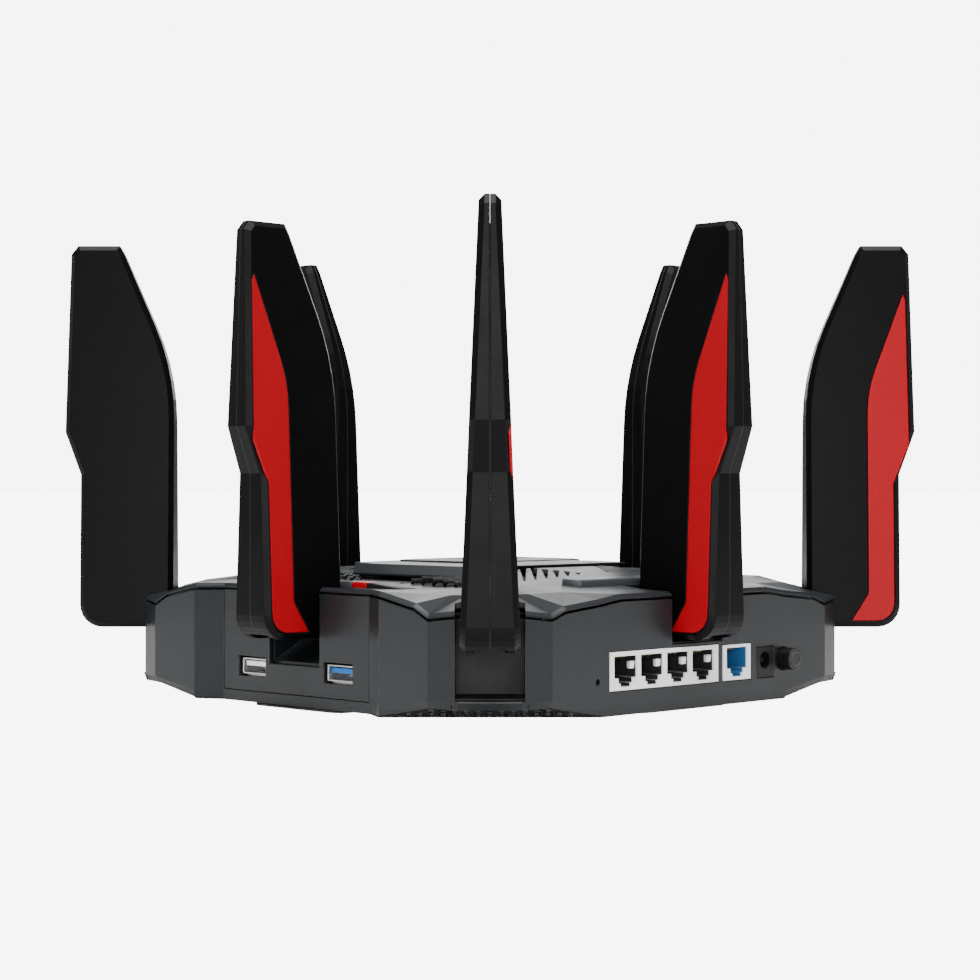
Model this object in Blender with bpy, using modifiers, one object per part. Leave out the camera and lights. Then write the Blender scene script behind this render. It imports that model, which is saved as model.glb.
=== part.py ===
"""A wireless router with eight folding blade antennas, as separate named parts.

Units are metres, +Z is up. The origin is the middle of the footprint at the level of
the feet. +Y is the rear, where the network sockets are, and +X is the right side, where
the USB sockets are. Each antenna folds outward about a level pin near its foot.
"""

import math

import bmesh
import bpy
from mathutils import Matrix, Vector

# ---------------------------------------------------------------- driving dimensions
GAP = 0.0003                # clearance between pieces that touch

FOOT_HEIGHT = 0.0010        # how far the case stands off the surface
FOOT_LENGTH = 0.0500
FOOT_WIDTH = 0.0110
FOOT_REACH = 0.0950         # from the centre to the middle of a foot

FACE_REACH = 0.1058         # from the centre to the rear face and the block faces
PANEL_RECESS = 0.0055       # how deep the side panels lie behind the block faces
PANEL_HALF = 0.0410         # half the length of a side panel
BLOCK_INNER = 0.0515        # where a corner block's outer face begins
SHOULDER = 0.0690           # where the top edge starts to round down
CORNER_EDGE = 0.0760        # where a face meets the corner facet
FACET_REACH = 0.1338        # diagonal distance of the notch edges
NOTCH_HALF = 0.0118         # half the width of a corner notch
NOTCH_LIP = 0.0005          # the facets run on this far before the notch cuts them
KEEL_REACH = 0.1109         # diagonal distance of the flat bottom's corner edge
CASE_WALL = 0.0022
COVER_WALL = 0.0020
COVER_LIFT = 0.0008         # seam between the walls and the cover
RIM_DROP = 0.0002           # the case rim stops this much under the nominal top edge
COVER_SLOT_Z = 0.0340       # below the cover's lowest edge
OUTSIDE = 0.1600            # cutters run out to this reach
ABOVE = 0.0700              # cutters run up to this height

BOTTOM_Z = FOOT_HEIGHT
HEM_Z = 0.0056              # lower edge of the corner facets
SKIRT_Z = 0.0080            # top of the chamfer above the hem
HEM_INSET = 0.0010
CORNER_TOP_Z = 0.0366       # top edge of the walls, from the corner to mid side
EDGE_TOP_Z = 0.0352
FLAT_TOP_Z = (0.0376, 0.0393, 0.0408)
BLOCK_TOP_Z = (0.0386, 0.0420, 0.0422)

BLADE_HEIGHT = 0.1491       # antenna blade, measured from its lower end
BLADE_FOOT_Z = 0.0260       # height of the blades' lower ends
BLADE_LOWER_WIDTH = 0.0363
BLADE_FULL_WIDTH = 0.0425
BLADE_TOP_WIDTH = 0.0407
BLADE_STEP_LOW = 0.0593     # the outer edge steps out between these heights
BLADE_STEP_HIGH = 0.0760
BLADE_ROUND = 0.00875       # radius of the lower outer corner, centred on the hinge
BLADE_BEND_START = 0.0810   # the inner edge bends outward from here
BLADE_BEND_RADIUS = 0.0920
BLADE_BEND_ANGLE = math.radians(23.5)
BLADE_CROWN = 0.0034        # height of the cut corners at the top
BLADE_THICKNESS = 0.0203    # at the lower end
BLADE_TAPER = 0.0875        # thickness lost per unit of height
BLADE_CHAMFER = 0.0019
BLADE_WALL = 0.0018
CORNER_BLADE_REACH = 0.1235  # centre to the inner edge of a corner blade
SIDE_BLADE_REACH = 0.0845    # centre to the inner edge of a mid-side blade

INLAY_DEPTH = 0.0011
INLAY_MARGIN = 0.0025       # inlay edge to the blade's outer edge
INLAY_WIDTH = 0.0099

ARM_HALF = 0.0045           # hinge arm: half width and end radius
ARM_PLAY = 0.0005           # clearance of the arm inside the blade
PIN_RADIUS = 0.0020
PIN_REACH = 0.0078          # pin ends, from the middle of the blade
MOUNT_WALL = 0.0018
SIDE_SLOT_HALF = 0.0140     # half the width of the mid-side antenna slots
SLOT_CLEARANCE = 0.0008     # between the swinging blade and the slot's back wall

BOARD_Z = 0.0078
BOARD_THICKNESS = 0.0016
BOARD_HALF = 0.0770
POST_RADIUS = 0.0040
POST_REACH = 0.0640

PORT_DEPTH = 0.0210
PORT_PITCH = 0.0140
PORT_COUNT = 4
PORT_BLOCK_WIDTH = 0.0586
PORT_BLOCK_HEIGHT = 0.0135
PORT_BLOCK_X = 0.0179
PORT_FLOOR_Z = BOARD_Z + BOARD_THICKNESS + GAP
PORT_WIDTH = 0.0118
WAN_WIDTH = 0.0159
WAN_HEIGHT = 0.0130
WAN_X = -0.0222
INLET_WIDTH = 0.0096
INLET_HEIGHT = 0.0112
INLET_X = -0.0392
INLET_BORE = 0.0032
INLET_PIN = 0.0009
POWER_BUTTON_X = -0.0504
POWER_BUTTON_Z = 0.0161
POWER_BUTTON_RADIUS = 0.0042
POWER_BUTTON_PROUD = 0.0056
RESET_X = 0.0533
RESET_Z = 0.0133
RESET_HOLE = 0.0011

USB_WIDTH = 0.0140
USB_HEIGHT = 0.0059
USB_DEPTH = 0.0140
USB_Z = 0.0142
USB_Y = 0.0240
USB_SHELL = 0.0005

VENT_PITCH = 0.0040
VENT_WIDTH = 0.0019
VENT_LENGTH = 0.0050
SLIT_PITCH = 0.0041
SLIT_COUNT = 9
SLIT_BASE = 0.0026
SLIT_TIP = 0.0007

CANOPY_HALF_X = 0.0460
CANOPY_HALF_Y = 0.0370

# place: azimuth in degrees and which way round the inlaid face looks
ANTENNAS = {
    "right": (0, 1),
    "rear_right": (45, 1),
    "rear": (90, -1),
    "rear_left": (135, -1),
    "left": (180, 1),
    "front_left": (225, 1),
    "front": (270, -1),
    "front_right": (315, -1),
}

# ------------------------------------------------------------------ scene and finishes
for old in list(bpy.data.objects):
    bpy.data.objects.remove(old, do_unlink=True)

PARTS = bpy.data.collections.new("wireless_router")
CUTTERS = bpy.data.collections.new("cutters")
bpy.context.scene.collection.children.link(PARTS)
bpy.context.scene.collection.children.link(CUTTERS)


def finish(name, colour, roughness, metallic=0.0):
    """Return a Principled material in a plain colour."""
    material = bpy.data.materials.new(name)
    material.use_nodes = True
    shader = material.node_tree.nodes["Principled BSDF"]
    shader.inputs["Base Color"].default_value = (*colour, 1.0)
    shader.inputs["Roughness"].default_value = roughness
    shader.inputs["Metallic"].default_value = metallic
    return material


CHARCOAL = finish("charcoal_plastic", (0.030, 0.033, 0.036), 0.30)
BLACK = finish("black_plastic", (0.010, 0.010, 0.011), 0.35)
RED = finish("red_plastic", (0.68, 0.02, 0.025), 0.40)
SOCKET = finish("light_socket", (0.75, 0.75, 0.77), 0.45)
STEEL = finish("socket_steel", (0.60, 0.60, 0.62), 0.25, 1.0)
ALUMINIUM = finish("heatsink_aluminium", (0.55, 0.56, 0.58), 0.40, 1.0)
BOARD_GREEN = finish("circuit_board", (0.02, 0.10, 0.05), 0.50)
RUBBER = finish("foot_rubber", (0.015, 0.015, 0.015), 0.85)
CLEAR = finish("light_guide_plastic", (0.80, 0.82, 0.85), 0.20)


# --------------------------------------------------------------------- shape helpers
def place_mesh(name, mesh, material=None):
    """Link a mesh as a part, or as a cutter when it has no material."""
    thing = bpy.data.objects.new(name, mesh)
    if material is None:
        CUTTERS.objects.link(thing)
        thing.hide_render = True
        thing.display_type = "WIRE"
    else:
        PARTS.objects.link(thing)
        mesh.materials.append(material)
    return thing


def face_outward(shape):
    """Turn a bmesh's faces outward, whichever way they were made."""
    shape.normal_update()
    bmesh.ops.recalc_face_normals(shape, faces=shape.faces)
    shape.normal_update()
    flat = shape.copy()
    bmesh.ops.triangulate(flat, faces=flat.faces)
    if flat.calc_volume(signed=True) < 0:
        bmesh.ops.reverse_faces(shape, faces=shape.faces)
        shape.normal_update()
    flat.free()
    return shape


def mesh_from(name, shape):
    """Turn a bmesh into a mesh with outward faces."""
    face_outward(shape)
    mesh = bpy.data.meshes.new(name)
    shape.to_mesh(mesh)
    shape.free()
    return mesh


def outline_shape(points):
    """Return a bmesh slab, two units thick about z = 0, of a flat closed outline."""
    curve = bpy.data.curves.new("outline", "CURVE")
    curve.dimensions = "2D"
    curve.fill_mode = "BOTH"
    curve.extrude = 1.0
    spline = curve.splines.new("POLY")
    spline.points.add(len(points) - 1)
    for point, (across, up) in zip(spline.points, points):
        point.co = (across, up, 0.0, 1.0)
    spline.use_cyclic_u = True
    holder = bpy.data.objects.new("outline", curve)
    CUTTERS.objects.link(holder)
    graph = bpy.context.evaluated_depsgraph_get()
    mesh = bpy.data.meshes.new_from_object(holder.evaluated_get(graph))
    shape = bmesh.new()
    shape.from_mesh(mesh)
    bpy.data.meshes.remove(mesh)
    bpy.data.objects.remove(holder)
    bmesh.ops.remove_doubles(shape, verts=shape.verts, dist=0.00001)
    shape.normal_update()
    bmesh.ops.recalc_face_normals(shape, faces=shape.faces)
    shape.normal_update()
    bmesh.ops.dissolve_limit(
        shape, angle_limit=0.001, use_dissolve_boundaries=False,
        verts=shape.verts, edges=shape.edges)
    return shape


def prism(points, low, high):
    """Return a bmesh prism of a plan outline between two heights."""
    shape = outline_shape(points)
    for vert in shape.verts:
        vert.co.z = high if vert.co.z > 0 else low
    return shape


def block(size, centre, turn=0.0):
    """Return a bmesh box, turned about +Z by an angle after it is placed."""
    shape = bmesh.new()
    matrix = Matrix.Rotation(turn, 4, "Z") @ Matrix.Translation(centre) @ Matrix.Diagonal((*size, 1.0))
    bmesh.ops.create_cube(shape, size=1.0, matrix=matrix)
    return shape


def span(low, high, turn=0.0):
    """Return a bmesh box between two opposite corners."""
    low = Vector(low)
    high = Vector(high)
    return block(high - low, (low + high) / 2, turn)


def rod(radius, start, end, sides=24):
    """Return a bmesh cylinder between two points."""
    start = Vector(start)
    end = Vector(end)
    aim = (end - start).to_track_quat("Z", "Y").to_matrix().to_4x4()
    shape = bmesh.new()
    bmesh.ops.create_cone(
        shape, cap_ends=True, segments=sides, radius1=radius, radius2=radius,
        depth=(end - start).length, matrix=Matrix.Translation((start + end) / 2) @ aim)
    return shape


def gather(name, shapes, turn=0.0):
    """Join several separate bmesh shapes into one cutter object."""
    whole = bmesh.new()
    for shape in shapes:
        mesh = mesh_from(name, shape)
        whole.from_mesh(mesh)
        bpy.data.meshes.remove(mesh)
    whole.transform(Matrix.Rotation(turn, 4, "Z"))
    return place_mesh(name, mesh_from(name, whole))


def combine(thing, tools, operation="DIFFERENCE"):
    """Add one exact Boolean to a part for each tool object."""
    for tool in tools:
        modifier = thing.modifiers.new(tool.name, "BOOLEAN")
        modifier.operation = operation
        modifier.solver = "EXACT"
        modifier.object = tool


def part(name, shape, material, turn=0.0, pivot=(0.0, 0.0, 0.0)):
    """Make a part from a bmesh, turned about +Z, with its origin at a pivot."""
    pivot = Vector(pivot)
    shape.transform(Matrix.Translation(-pivot))
    thing = place_mesh(name, mesh_from(name, shape), material)
    thing.rotation_euler = (0.0, 0.0, turn)
    thing.location = Matrix.Rotation(turn, 3, "Z") @ pivot
    return thing


def arc(centre, radius, start, end, steps):
    """Return points along an arc, its angles in degrees."""
    points = []
    for step in range(steps + 1):
        angle = math.radians(start + (end - start) * step / steps)
        points.append((centre[0] + radius * math.cos(angle), centre[1] + radius * math.sin(angle)))
    return points


def grown(points, distance):
    """Offset an anticlockwise outline outward by a distance, with mitred corners."""
    result = []
    for index, point in enumerate(points):
        here = Vector(point)
        before = (here - Vector(points[index - 1])).normalized()
        after = (Vector(points[(index + 1) % len(points)]) - here).normalized()
        out_before = Vector((before.y, -before.x))
        out_after = Vector((after.y, -after.x))
        mitre = (out_before + out_after).normalized()
        result.append(tuple(here + mitre * distance / max(mitre.dot(out_after), 0.3)))
    return result


# ------------------------------------------------------------------------- the case
def side_point(side, out, along, height):
    """Place a point given outward and along one of the four sides."""
    turn = Matrix.Rotation(math.radians(90 * side), 3, "Z")
    return turn @ Vector((out, along, height))


def corner_point(reach, offset):
    """Outward and along values of a point near a corner, from its diagonal distance."""
    return ((reach + offset) / math.sqrt(2), (reach - offset) / math.sqrt(2))


def wall_ring(heights_flat, heights_block, inset=0.0, lift=0.0, side_inset=None):
    """Return the wall outline, with the given heights from the corner to mid side."""
    ring = []
    side_inset = inset if side_inset is None else side_inset
    for side in range(4):
        blocked = side % 2 == 0
        heights = heights_block if blocked else heights_flat
        panel = FACE_REACH - (PANEL_RECESS if blocked else 0.0) - side_inset
        face = FACE_REACH - inset
        notch = corner_point(FACET_REACH + NOTCH_LIP - inset, NOTCH_HALF - 2 * NOTCH_LIP)
        half = [
            (notch[0], notch[1], heights[0]),
            (face, CORNER_EDGE - inset / 2, heights[1]),
            (face, SHOULDER, heights[2]),
            (FACE_REACH - side_inset, BLOCK_INNER, heights[3]),
            (panel, PANEL_HALF, heights[4]),
        ]
        for out, along, height in half:
            ring.append(side_point(side, out, -along, height + lift))
        for out, along, height in reversed(half):
            ring.append(side_point(side, out, along, height + lift))
    return ring


def keel_ring(inset=0.0):
    """Return the outline of the flat bottom, whose corners are cut straight across."""
    ring = []
    face = FACE_REACH - inset
    reach = KEEL_REACH - inset
    height = BOTTOM_Z + inset
    for side in range(4):
        panel = face - (PANEL_RECESS if side % 2 == 0 else 0.0)
        half = [corner_point(reach, offset) for offset in (0.010, 0.022, 0.031)]
        half += [(face, math.sqrt(2) * reach - face), (panel, PANEL_HALF)]
        ring += [side_point(side, out, -along, height) for out, along in half]
        ring += [side_point(side, out, along, height) for out, along in reversed(half)]
    return ring


def deck_ring(out, reach, block_height, flat_height, corner_height):
    """Return an eight-sided ring of the deck with as many points as a wall ring."""
    ring = []
    end = math.sqrt(2) * reach - out
    for side in range(4):
        height = block_height if side % 2 == 0 else flat_height
        half = []
        for share in (0.25, 0.6):
            along = (1 - share) * reach / math.sqrt(2) + share * end
            across = math.sqrt(2) * reach - along
            half.append((across, along, height * share + corner_height * (1 - share)))
        half.append((out, end, height * 0.8 + corner_height * 0.2))
        half += [(out, end * 0.75, height), (out, end * 0.5, height)]
        ring += [side_point(side, across, -along, z) for across, along, z in half]
        ring += [side_point(side, across, along, z) for across, along, z in reversed(half)]
    return ring


def skin(rings, close_first=False, close_last=False):
    """Return an open surface that runs through rings of equal point counts."""
    shape = bmesh.new()
    rows = [[shape.verts.new(point) for point in ring] for ring in rings]
    for row in rows:
        for index, vert in enumerate(row):
            shape.edges.new((vert, row[index - 1]))
    shape.edges.ensure_lookup_table()
    loops = [list({e for v in row for e in v.link_edges}) for row in rows]
    for lower, upper in zip(loops, loops[1:]):
        bmesh.ops.bridge_loops(shape, edges=lower + upper)
    if close_first:
        bmesh.ops.edgeloop_fill(shape, edges=loops[0])
    if close_last:
        bmesh.ops.edgeloop_fill(shape, edges=loops[-1])
    return shape


def thicken(thing, wall):
    """Give an open surface a wall on its inner side."""
    modifier = thing.modifiers.new("wall", "SOLIDIFY")
    modifier.thickness = wall
    modifier.offset = -1.0
    modifier.use_even_offset = True
    thing.modifiers.new("flat faces", "TRIANGULATE")


FLAT_TOP = (CORNER_TOP_Z, EDGE_TOP_Z, *FLAT_TOP_Z)
BLOCK_TOP = (CORNER_TOP_Z, EDGE_TOP_Z, *BLOCK_TOP_Z)
FLOOR_NEAR = BOTTOM_Z + 0.0006


def antenna_turn(place):
    return math.radians(ANTENNAS[place][0])


def is_corner(place):
    return "_" in place


def blade_reach(place):
    return CORNER_BLADE_REACH if is_corner(place) else SIDE_BLADE_REACH


def slot_half(place):
    return NOTCH_HALF if is_corner(place) else SIDE_SLOT_HALF


HINGE_ACROSS = BLADE_LOWER_WIDTH - BLADE_ROUND   # hinge from the blade's inner edge
HINGE_Z = BLADE_FOOT_Z + BLADE_ROUND
SWING = math.hypot(HINGE_ACROSS, BLADE_ROUND)
MOUNT_BACK = HINGE_ACROSS - SWING - SLOT_CLEARANCE  # slot's back wall from the inner edge


def slot_floor(place):
    """Height of the outer lip of an antenna's slot."""
    if is_corner(place):
        return SKIRT_Z + 0.0006
    if place in ("left", "right"):
        return 0.0158
    return BLADE_FOOT_Z - 0.0016


def slot_cutter(place):
    """Cutter that opens a wall in front of one antenna."""
    start = FACET_REACH - 0.0120 if is_corner(place) else FACE_REACH - 0.0100
    half = slot_half(place)
    shape = span((start, -half, slot_floor(place)), (OUTSIDE, half, ABOVE))
    return part_cutter(f"slot_{place}", shape, antenna_turn(place))


def cover_cutter(place):
    """Cutter that opens the cover around one antenna, a hair wider than the wall."""
    half = slot_half(place) + 0.0001
    shape = span((blade_reach(place) + MOUNT_BACK, -half, COVER_SLOT_Z), (OUTSIDE, half, ABOVE))
    return part_cutter(f"cover_slot_{place}", shape, antenna_turn(place))


def part_cutter(name, shape, turn=0.0):
    """Make one cutter object from a bmesh, turned about +Z."""
    shape.transform(Matrix.Rotation(turn, 4, "Z"))
    return place_mesh(name, mesh_from(name, shape))


def vent_cutter():
    """Rows of small slots through the four sloping corner facets of the underside."""
    shapes = []
    for corner in range(4):
        turn = math.radians(45 + 90 * corner)
        for row, count in enumerate((7, 5, 3)):
            reach = KEEL_REACH + 0.0030 + VENT_LENGTH / 2 + row * (VENT_LENGTH + 0.0020)
            for column in range(-count, count + 1):
                if row == 2 and column == 0:
                    continue
                centre = (reach, column * VENT_PITCH, BOTTOM_Z + 0.0020)
                shapes.append(block((VENT_LENGTH, VENT_WIDTH, 0.0120), centre, turn))
    return gather("underside_vents", shapes)


def make_case():
    """The case: vented underside, hem, corner blocks and walls, open at the top."""
    hem_flat = (HEM_Z, HEM_Z + 0.0002, 0.0046, FLOOR_NEAR, FLOOR_NEAR)
    skirt_flat = (SKIRT_Z, SKIRT_Z, 0.0070, 0.0040, 0.0040)
    rings = [
        keel_ring(),
        wall_ring(hem_flat, hem_flat, HEM_INSET, side_inset=0.0),
        wall_ring(skirt_flat, skirt_flat),
        wall_ring(FLAT_TOP, BLOCK_TOP, lift=-RIM_DROP),
        wall_ring(FLAT_TOP, BLOCK_TOP, CASE_WALL, -RIM_DROP),
        wall_ring(hem_flat, hem_flat, CASE_WALL, CASE_WALL + 0.0002),
        keel_ring(CASE_WALL),
    ]
    case = part("case", skin(rings, close_first=True, close_last=True), CHARCOAL)
    case.modifiers.new("flat faces", "TRIANGULATE")
    tools = [vent_cutter()]
    tools += [slot_cutter(place) for place in ANTENNAS if place not in ("left", "right")]
    bay = PANEL_HALF - 0.0004
    for side, name in ((0, "right"), (2, "left")):
        shape = span((0.0930, -bay, 0.0050), (0.1200, bay, 0.0700))
        tools.append(part_cutter(f"panel_bay_{name}", shape, math.radians(90 * side)))
    tools.append(rear_port_cutter())
    tools.append(part_cutter("guide_window", span((-0.0303, -0.1200, 0.0117), (0.0303, -0.0950, 0.0153))))
    combine(case, tools)
    posts = gather("posts", [
        rod(POST_RADIUS, (x, y, BOTTOM_Z + 0.0010), (x, y, BOARD_Z - GAP))
        for x in (-POST_REACH, POST_REACH) for y in (-POST_REACH, POST_REACH)])
    combine(case, [posts], "UNION")
    return case


def rear_port_cutter():
    """Openings in the rear face for the sockets, the power button and the reset hole."""
    near = FACE_REACH - 0.0040
    far = FACE_REACH + 0.0100
    shapes = []
    for x, width, height in (
            (PORT_BLOCK_X, PORT_BLOCK_WIDTH, PORT_BLOCK_HEIGHT),
            (WAN_X, WAN_WIDTH, WAN_HEIGHT),
            (INLET_X, INLET_WIDTH, INLET_HEIGHT)):
        half = width / 2 + GAP
        shapes.append(span((x - half, near, PORT_FLOOR_Z - GAP), (x + half, far, PORT_FLOOR_Z + height + GAP)))
    shapes.append(rod(POWER_BUTTON_RADIUS + GAP, (POWER_BUTTON_X, near, POWER_BUTTON_Z),
                      (POWER_BUTTON_X, far, POWER_BUTTON_Z)))
    shapes.append(rod(RESET_HOLE, (RESET_X, near, RESET_Z), (RESET_X, far, RESET_Z), 12))
    return gather("rear_openings", shapes)


def slit_cutter():
    """Tapering slits through the deck, in a chevron that points at each corner."""
    shapes = []
    for corner in range(4):
        turn = math.radians(45 + 90 * corner)
        for column in range(1, SLIT_COUNT + 1):
            for sign in (-1, 1):
                middle = sign * column * SLIT_PITCH
                tip = 0.1020 - 1.6 * column * SLIT_PITCH
                root = 0.0370 + 0.2 * column * SLIT_PITCH
                if tip - root < 0.0050:
                    continue
                base = SLIT_BASE / 2
                point = SLIT_TIP / 2
                outline = [(root, middle - base), (tip, middle - point), (tip, middle + point), (root, middle + base)]
                shape = prism(outline, 0.0300, 0.0700)
                shape.transform(Matrix.Rotation(turn, 4, "Z"))
                shapes.append(shape)
    return gather("deck_slits", shapes)


def make_cover():
    """The top cover: a sloping deck with slits, open in the middle under the canopy."""
    rings = [
        wall_ring(FLAT_TOP, BLOCK_TOP, 0.0, COVER_LIFT),
        wall_ring(FLAT_TOP, BLOCK_TOP, 0.0, COVER_LIFT + 0.0005),
        wall_ring(FLAT_TOP, BLOCK_TOP, 0.0016, 0.0024),
        deck_ring(0.0900, 0.1140, 0.0434, 0.0438, 0.0432),
        deck_ring(0.0720, 0.0960, 0.0442, 0.0462, 0.0460),
        deck_ring(0.0500, 0.0610, 0.0448, 0.0490, 0.0486),
        deck_ring(CANOPY_HALF_X - 0.0060, 0.0500, 0.0450, 0.0500, 0.0455),
    ]
    cover = part("top_cover", skin(rings), CHARCOAL)
    thicken(cover, COVER_WALL)
    combine(cover, [cover_cutter(place) for place in ANTENNAS])
    combine(cover, [slit_cutter()])
    return cover


def make_canopy():
    """The raised centre: a shell with overhanging sides, flush with the deck fore and aft."""
    def ring(half_x, half_y, cut, side_height, end_height):
        corner = [
            (half_x, half_y - cut, side_height),
            (half_x - cut, half_y, end_height),
        ]
        points = [corner[0], corner[1]]
        points += [(-x, y, z) for x, y, z in reversed(corner)]
        points += [(-x, -y, z) for x, y, z in corner]
        points += [(x, -y, z) for x, y, z in reversed(corner)]
        return [Vector(point) for point in points]

    rings = [
        ring(CANOPY_HALF_X, CANOPY_HALF_Y, 0.0080, 0.0466, 0.0504),
        ring(CANOPY_HALF_X, CANOPY_HALF_Y, 0.0080, 0.0474, 0.0510),
        ring(CANOPY_HALF_X - 0.0060, CANOPY_HALF_Y - 0.0050, 0.0080, 0.0508, 0.0514),
        ring(CANOPY_HALF_X - 0.0220, CANOPY_HALF_Y - 0.0120, 0.0080, 0.0518, 0.0518),
    ]
    canopy = part("centre_canopy", skin(rings, close_last=True), CHARCOAL)
    thicken(canopy, COVER_WALL)
    return canopy


def make_side_panel(side):
    """A recessed side panel, open at the antenna; the right one has two socket openings."""
    name = "right" if side == 0 else "left"
    turn = math.radians(90 * side)
    outer = FACE_REACH - PANEL_RECESS
    half = PANEL_HALF - 0.0004 - GAP
    shape = span((outer - CASE_WALL, -half, 0.0050 + GAP), (outer, half, BLOCK_TOP_Z[2]))
    panel = part(f"side_panel_{name}", shape, CHARCOAL, turn)
    tools = [slot_cutter(name)]
    if side == 0:
        shapes = []
        for y in (-USB_Y, USB_Y):
            low = (outer - 0.0100, y - USB_WIDTH / 2 - 0.0008, USB_Z - USB_HEIGHT / 2 - 0.0008)
            high = (outer + 0.0100, y + USB_WIDTH / 2 + 0.0008, USB_Z + USB_HEIGHT / 2 + 0.0008)
            shapes.append(span(low, high))
        tools.append(gather("usb_openings", shapes))
    combine(panel, tools)
    return panel


def make_mount(place):
    """The liner of an antenna's slot, with the hinge arm and its pins inside it."""
    corner = is_corner(place)
    back = blade_reach(place) + MOUNT_BACK
    half = slot_half(place)
    wall = MOUNT_WALL
    if corner:
        front = FACET_REACH - 0.0041
        high = CORNER_TOP_Z - 0.0012
        floor_back = slot_floor(place) + 0.0014
        base = slot_floor(place) - GAP
    else:
        recess = PANEL_RECESS if place in ("left", "right") else 0.0
        front = FACE_REACH - recess - CASE_WALL - GAP
        high = 0.0388
        floor_back = BLADE_FOOT_Z - 0.0014
        base = slot_floor(place) - (wall if recess else 0.0006)
    lip = slot_floor(place) + 0.0006
    profile = [(back - wall, base), (front, base), (front, high), (back - wall, high)]
    shape = outline_shape(profile)
    for vert in shape.verts:
        across, up, depth = vert.co
        vert.co = (across, (half + wall) * (1 if depth > 0 else -1), up)
    mount = part(f"{place}_antenna_mount", shape, BLACK, antenna_turn(place))
    slope = [(back, floor_back), (front + 0.0010, lip), (front + 0.0010, high + 0.0010), (back, high + 0.0010)]
    hollow = outline_shape(slope)
    for vert in hollow.verts:
        across, up, depth = vert.co
        vert.co = (across, half * (1 if depth > 0 else -1), up)
    combine(mount, [part_cutter(f"hollow_{place}", hollow, antenna_turn(place))])
    hinge = blade_reach(place) + HINGE_ACROSS
    root = (back - wall / 2, HINGE_Z - ARM_HALF)
    outline = [root, *arc((hinge, HINGE_Z), ARM_HALF, -90, 90, 8), (root[0], HINGE_Z + ARM_HALF)]
    arm = outline_shape(outline)
    for vert in arm.verts:
        across, up, depth = vert.co
        vert.co = (across, ARM_HALF * (1 if depth > 0 else -1), up)
    arm_tool = part_cutter(f"arm_{place}", arm, antenna_turn(place))
    pin = rod(PIN_RADIUS, (hinge, -PIN_REACH, HINGE_Z), (hinge, PIN_REACH, HINGE_Z), 16)
    combine(mount, [arm_tool, part_cutter(f"pin_{place}", pin, antenna_turn(place))], "UNION")
    return mount


# ---------------------------------------------------------------------- the antennas
def half_thickness(height):
    return (BLADE_THICKNESS - BLADE_TAPER * height) / 2


def bent_edge(start_across, start_height, radius, angle, end_height, steps=5):
    """Points up a straight edge that bends outward through an arc and runs on straight."""
    degrees = math.degrees(angle)
    curve = arc((start_across + radius, start_height), radius, 180, 180 - degrees, steps)
    last = curve[-1]
    end = (last[0] + (end_height - last[1]) * math.tan(angle), end_height)
    return curve + [end]


def blade_outline():
    """The blade's side view, from its inner edge and its lower end, anticlockwise."""
    neck = BLADE_HEIGHT - BLADE_CROWN
    inner = bent_edge(0.0, BLADE_BEND_START, BLADE_BEND_RADIUS, BLADE_BEND_ANGLE, neck)
    hinge = (HINGE_ACROSS, BLADE_ROUND)
    outline = [(0.0, 0.0)]
    outline += arc(hinge, BLADE_ROUND, -90, 0, 6)
    outline += [
        (BLADE_LOWER_WIDTH, BLADE_STEP_LOW),
        (BLADE_FULL_WIDTH, BLADE_STEP_HIGH),
        (BLADE_TOP_WIDTH, neck),
        (BLADE_TOP_WIDTH - 0.0027, BLADE_HEIGHT),
        (inner[-1][0] + 0.0020, BLADE_HEIGHT),
    ]
    return outline + list(reversed(inner))


def inlay_outline():
    """The inlay's side view, following the blade's outer edge."""
    right = BLADE_LOWER_WIDTH - INLAY_MARGIN
    left = right - INLAY_WIDTH
    angle = math.radians(20.5)
    inner = bent_edge(left, 0.0830, 0.0500, angle, 0.1298, 4)
    outline = [(left - 0.0065, 0.0026)]
    outline += arc((right - 0.0068, 0.0094), 0.0068, -90, 0, 5)
    outline += [
        (right, BLADE_STEP_LOW - 0.0033),
        (BLADE_FULL_WIDTH - INLAY_MARGIN, BLADE_STEP_HIGH - 0.0048),
        (inner[-1][0] + 0.0009, 0.1278),
    ]
    return outline + list(reversed(inner)) + [(left, 0.0132)]


def core_outline():
    """The side view of the hollow for the radiator board."""
    inner = bent_edge(0.0032, BLADE_BEND_START, BLADE_BEND_RADIUS, BLADE_BEND_ANGLE, 0.1400, 3)
    return [
        (0.0032, 0.0240),
        (BLADE_LOWER_WIDTH - 0.0032, 0.0240),
        (BLADE_LOWER_WIDTH - 0.0032, BLADE_STEP_LOW + 0.0010),
        (BLADE_FULL_WIDTH - 0.0036, BLADE_STEP_HIGH + 0.0010),
        (BLADE_TOP_WIDTH - 0.0036, 0.1400),
        *reversed(inner),
    ]


def upright(points, low, high):
    """Stand an outline up as a slab whose two faces lie at given depths for each height."""
    shape = outline_shape(points)
    for vert in shape.verts:
        across, up, depth = vert.co
        vert.co = (across, high(up) if depth > 0 else low(up), up)
    return face_outward(shape)


def at_blade(shape, place, sign):
    """Move a blade shape to its place, its thickness running to one side of the middle."""
    shape.transform(Matrix.Diagonal((1.0, sign, 1.0, 1.0)))
    shape.transform(Matrix.Translation((blade_reach(place), 0.0, BLADE_FOOT_Z)))
    return shape


def hinge_pivot(place):
    return (blade_reach(place) + HINGE_ACROSS, 0.0, HINGE_Z)


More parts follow.
